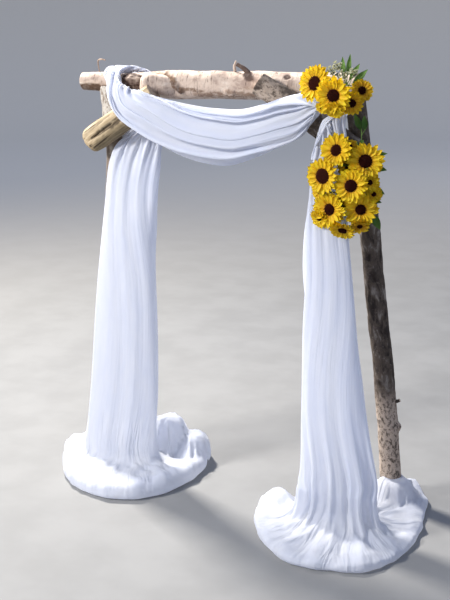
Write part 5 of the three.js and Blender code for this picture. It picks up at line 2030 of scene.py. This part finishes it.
@dataclass
class Sprays:
    """The two sprays at the right corner: flowers, leaves, blossoms, bundled stems and wire."""

    stem_radius: float = 3.4
    bundle_stems: int = 6
    bundle_radius: float = 8.0
    petal: PetalFinish = PetalFinish(
        "petal_golden", (0.90, 0.25, 0.003), (1.0, 0.70, 0.006), (1.0, 0.84, 0.012), (1.0, 0.92, 0.06),
        veins=0.25, glow=0.40)
    petal_red: PetalFinish = PetalFinish(
        "petal_orange", (0.34, 0.030, 0.006), (0.95, 0.48, 0.008), (1.0, 0.84, 0.03), (1.0, 0.80, 0.05),
        veins=0.25, glow=0.40)
    leaf: PetalFinish = PetalFinish(
        "leaf_green", (0.055, 0.12, 0.022), (0.085, 0.20, 0.034), (0.20, 0.36, 0.075), (0.26, 0.46, 0.11),
        veins=0.7, glow=0.25, roughness=0.5)
    blossom: PetalFinish = PetalFinish(
        "blossom_cream", (0.55, 0.60, 0.30), (0.84, 0.82, 0.68), (0.92, 0.90, 0.80), (0.80, 0.84, 0.62),
        veins=0.1, glow=0.35, roughness=0.6)
    disc: GrainFinish = GrainFinish("disc_dark", (0.008, 0.0008, 0.0003), (0.055, 0.006, 0.001), 380, 0.95)
    stem: GrainFinish = GrainFinish("stem_green", (0.07, 0.13, 0.030), (0.16, 0.26, 0.065), 90, 0.55)
    wire: GrainFinish = GrainFinish("wire_green", (0.035, 0.055, 0.025), (0.075, 0.11, 0.05), 300, 0.4, 0.3)

    def build(self) -> list[Piece]:
        """Makes both sprays.

        Returns:
            The pieces.
        """
        golden = self.petal.material()
        orange = self.petal_red.material()
        green = self.stem.material()
        disc = self.disc.material()
        leaf = self.leaf.material()
        pieces = [Sunflower(bloom, seed + 1).build(orange if bloom.reddish else golden, disc, green)
                  for seed, bloom in enumerate([*BLOOMS, *SMALL_BLOOMS])]
        for name, leaves, stems, nodes in (
                ("leaves_corner", CORNER_LEAVES, CORNER_LEAF_STEMS, ["corner_leaves"]),
                ("leaves_post", POST_LEAVES, POST_LEAF_STEMS, ["post_leaves"]),
                ("leaves_between", BETWEEN_LEAVES, BETWEEN_LEAF_STEMS, [])):
            parts = [(each.shape(i), 0) for i, each in enumerate(leaves)]
            parts += [(tube(line, 2.2, 1.4, 7), 1) for line in stems]
            spray = make_object(name, slotted(parts), [leaf, green])
            pieces.append(finish_piece(spray, "leaf_green", *nodes))
        pieces.append(self.filler(self.blossom.material(), green))
        pieces.append(self.bundle("stems_corner", CORNER_BUNDLE, green, "corner_stem_bundle"))
        pieces.append(self.bundle("stems_post", POST_BUNDLE, green, "post_stem_bundle"))
        wire = self.wire.material()
        for node in ("corner_tie", "post_tie_upper", "post_tie_lower"):
            pieces.append(WireTie(node).build(wire))
        return pieces

    def filler(self, cream: Material, green: Material) -> Piece:
        """The small cream blossoms over the corner.

        Args:
            cream: Material of the blossoms.
            green: Material of their stems.

        Returns:
            The piece.
        """
        petal = Blade(0.0105, 0.0078, LEAF_OUTLINE, cup=0.3, bend=0.2, crease=0.05, rows=5,
                      thickness=0.0005).shape()
        stalks = [tube(line, 1.6, 1.0, 6) for line in FILLER_STEMS]
        blossoms = []
        for i, line in enumerate(FILLER_STEMS[1:]):
            tip = Vector(line[-1])
            for k, offset in enumerate(HEADS_ROUND_TIP):
                at = tip + Vector(offset)
                if k:
                    branch = tip - Vector((0, 0, 14))
                    middle = tip + Vector(offset) * 0.5 - Vector((0, 0, 5))
                    stalks.append(tube([tuple(branch), tuple(middle), tuple(at)], 0.9, 0.7, 5))
                facing = Vector((offset[0] * 0.05 + 0.1, -1, 0.5 + offset[2] * 0.04)).normalized()
                turn = Vector((0, 0, 1)).rotation_difference(facing).to_matrix().to_4x4()
                place = Matrix.Translation(at * MM) @ turn
                head = Whorl("blossom", 13, GOLDEN_TURN, 0.0006, 0.0022, 0.002, tilt_inner=75, tilt_outer=18,
                             tilt_jitter=12, turn_jitter=10, size_inner=0.6, size_jitter=0.15,
                             seed=900 + 7 * i + k)
                blossoms.append(head.shape(petal, cream).moved(place))
        whole = slotted([(each, 0) for each in blossoms] + [(each, 1) for each in stalks])
        piece = make_object("blossoms_corner", whole, [cream, green])
        return finish_piece(piece, "blossom_cream", "corner_filler")

    def bundle(self, name: str, line: Sequence[Triple], green: Material, node: str) -> Piece:
        """Several thin stems that lie together along one line.

        Args:
            name: The piece's name.
            line: Middle of the bundle, in millimetres.
            green: Material of the stems.
            node: The solid node that it stands for.

        Returns:
            The piece.
        """
        route = Spline(line)
        t = np.linspace(0, 1, 12)
        centre = route.at(t)
        tangent = route.heading(t)
        across = unit(np.cross([0.0, 1.0, 0.0], tangent))
        depth = np.cross(tangent, across)
        stems = []
        for k in range(self.bundle_stems):
            angle = 2 * math.pi * k / self.bundle_stems + 0.9 * t
            away = np.cos(angle)[:, None] * across + np.sin(angle)[:, None] * depth
            path = (centre + self.bundle_radius * away)[k % 2:len(t) - k % 3]
            stems.append(tube(path, self.stem_radius, self.stem_radius * 0.9, 8, 7.0,
                              tint=k / self.bundle_stems))
        stems.append(tube(centre, self.stem_radius * 1.3, self.stem_radius * 1.2, 8, 7.0))
        piece = make_object(name, merged(stems), [green])
        return finish_piece(piece, "stem_green", node)


@dataclass
class WireTie:
    """Turns of thin coated wire round the outline of the tie's solid band."""

    node: str
    turns: int = 4
    points: int = 90  # points in a turn
    radius: float = 0.0011
    sides: int = 8

    def build(self, wire: Material) -> Piece:
        """Winds the wire.

        Args:
            wire: Its material.

        Returns:
            The piece, in place of the band.
        """
        route = self.route()
        mesh = bpy.data.meshes.new(self.node)
        mesh.from_pydata(route.tolist(), [(i, i + 1) for i in range(len(route) - 1)], [])
        piece = bpy.data.objects.new(self.node.replace("tie", "wire"), mesh)
        bpy.context.scene.collection.objects.link(piece)
        grown(piece, "wire", {"Wire Radius": self.radius, "Sides": self.sides, "Material": wire}, self.nodes)
        piece.data.polygons.foreach_set("use_smooth", [True] * len(piece.data.polygons))
        return finish_piece(piece, "wire_green", self.node)

    def route(self) -> Array:
        """The wire's line: turns side by side along the band's middle outline.

        Returns:
            Points in metres.
        """
        points = np.array([v.co for v in bpy.data.objects[self.node].data.vertices])
        low, high = points.min(axis=0), points.max(axis=0)
        axis = int(np.argmin(high - low))
        plane = [k for k in range(3) if k != axis]
        flat = points[:, plane]
        corners = flat[mathutils.geometry.convex_hull_2d(flat.tolist())]
        middle = corners.mean(axis=0)
        corners = corners - unit(corners - middle) * self.radius
        ring = np.vstack([corners, corners[:1]])
        run = np.concatenate([[0], np.cumsum(np.linalg.norm(np.diff(ring, axis=0), axis=1))])
        turn = np.linspace(0, self.turns, self.turns * self.points + 1)
        place = (turn % 1) * run[-1]
        route = np.zeros((len(turn), 3))
        for k in range(2):
            route[:, plane[k]] = np.interp(place, run, ring[:, k])
        route[:, axis] = (low[axis] + high[axis]) / 2 + (turn - self.turns / 2) * self.radius * 2.05
        return route

    @staticmethod
    def nodes(g: Graph, given: Any) -> Socket:
        """Adds the nodes that make a round wire along a line.

        Args:
            g: The tree.
            given: Its inputs.

        Returns:
            The wire's skin.
        """
        line = g.add("GeometryNodeMeshToCurve", {0: given["Geometry"]}).outputs[0]
        ring = g.add("GeometryNodeCurvePrimitiveCircle", {
            "Resolution": given["Sides"], "Radius": given["Wire Radius"]}).outputs[0]
        return g.add("GeometryNodeCurveToMesh", {0: line, 1: ring, "Fill Caps": True}).outputs[0]


# Studio

@dataclass(frozen=True)
class Lamp:
    """One soft square lamp."""

    name: str
    place: Triple
    target: Triple
    power: float  # watts
    size: float  # metres
    colour: Colour


@dataclass
class Studio:
    """A plain pale floor, soft light and the camera."""

    camera_place: Triple = (0.870, -4.716, 2.28)  # where the photograph was taken from
    aim: Triple = (-0.80, -0.20, 0.985)
    lens: float = 63.0
    sensor: float = 36.0
    floor_reach: float = 16.0  # radius of the flat floor, all round the arch
    cove_radius: float = 4.0
    sides: int = 72
    sky: Colour = (0.62, 0.72, 1.0)
    sky_strength: float = 0.56
    lamps: tuple[Lamp, ...] = (
        Lamp("key", (-3.7, 1.6, 5.3), (-0.8, -0.2, 1.0), 640, 0.7, (1.0, 0.95, 0.88)),
        Lamp("front", (-4.4, -3.6, 4.2), (-0.6, 0.0, 1.2), 370, 1.1, (1.0, 0.97, 0.93)))

    def build(self) -> None:
        """Makes the round floor with its cove, the lights and the camera."""
        profile = [(2.0, 0.0), (6.0, 0.0), (self.floor_reach, 0.0)]
        profile += [(self.floor_reach + self.cove_radius * math.sin(a), self.cove_radius * (1 - math.cos(a)))
                    for a in np.linspace(0, math.pi / 2, 13)[1:]]
        turns = np.linspace(0, 2 * math.pi, self.sides, endpoint=False)
        points = np.array([(self.aim[0] + r * math.cos(a), r * math.sin(a), z)
                           for r, z in profile for a in turns])
        cove = Shape(points, [tuple(range(self.sides)), *grid_faces(len(profile), self.sides, True)])
        floor = make_object("floor", cove, [surface("floor_pale", self.floor)])
        world = bpy.data.worlds.new("studio")
        world.use_nodes = True
        background = world.node_tree.nodes["Background"]
        background.inputs["Color"].default_value = (*self.sky, 1)
        background.inputs["Strength"].default_value = self.sky_strength
        bpy.context.scene.world = world
        bpy.context.scene.view_settings.view_transform = "Standard"
        for lamp in self.lamps:
            data = bpy.data.lights.new(lamp.name, "AREA")
            data.energy, data.size, data.color = lamp.power, lamp.size, lamp.colour
            self.aimed(data, lamp.place, lamp.target)
        data = bpy.data.cameras.new("camera")
        data.lens, data.sensor_width = self.lens, self.sensor
        bpy.context.scene.camera = self.aimed(data, self.camera_place, self.aim)

    @staticmethod
    def floor(g: Graph) -> dict[str, Any]:
        """A plain pale floor with a trace of mottling, paler where the lamps don't reach.

        Args:
            g: The material's tree.

        Returns:
            The shader's inputs.
        """
        where = g.place()
        shade = g.step(g.noise(where, 3, 3), 0.3, 0.7)
        near = g.blend(shade, (0.25, 0.25, 0.245), (0.28, 0.28, 0.275))
        away = g.add("ShaderNodeVectorMath", {0: where}, operation="LENGTH").outputs["Value"]
        return {"Base Color": g.blend(g.step(away, 2.5, 12.0), near, (0.80, 0.75, 0.65)), "Roughness": 0.8}

    @staticmethod
    def aimed(data: Any, place: Triple, target: Triple) -> Piece:
        """Adds a lamp or a camera that points at a target.

        Args:
            data: The lamp's or the camera's settings, which name the object.
            place: Where it stands, in metres.
            target: What it points at.

        Returns:
            The object.
        """
        made = bpy.data.objects.new(data.name, data)
        made.location = place
        made.rotation_euler = (Vector(target) - Vector(place)).to_track_quat("-Z", "Y").to_euler()
        bpy.context.scene.collection.objects.link(made)
        return made


def main() -> None:
    """Builds the studio and the arch, piece by piece."""
    logging.basicConfig(level=logging.INFO, format="%(name)s %(message)s")
    Studio().build()
    LogFrame().build()
    Drape().build()
    Sprays().build()


if __name__ == "__main__":
    main()
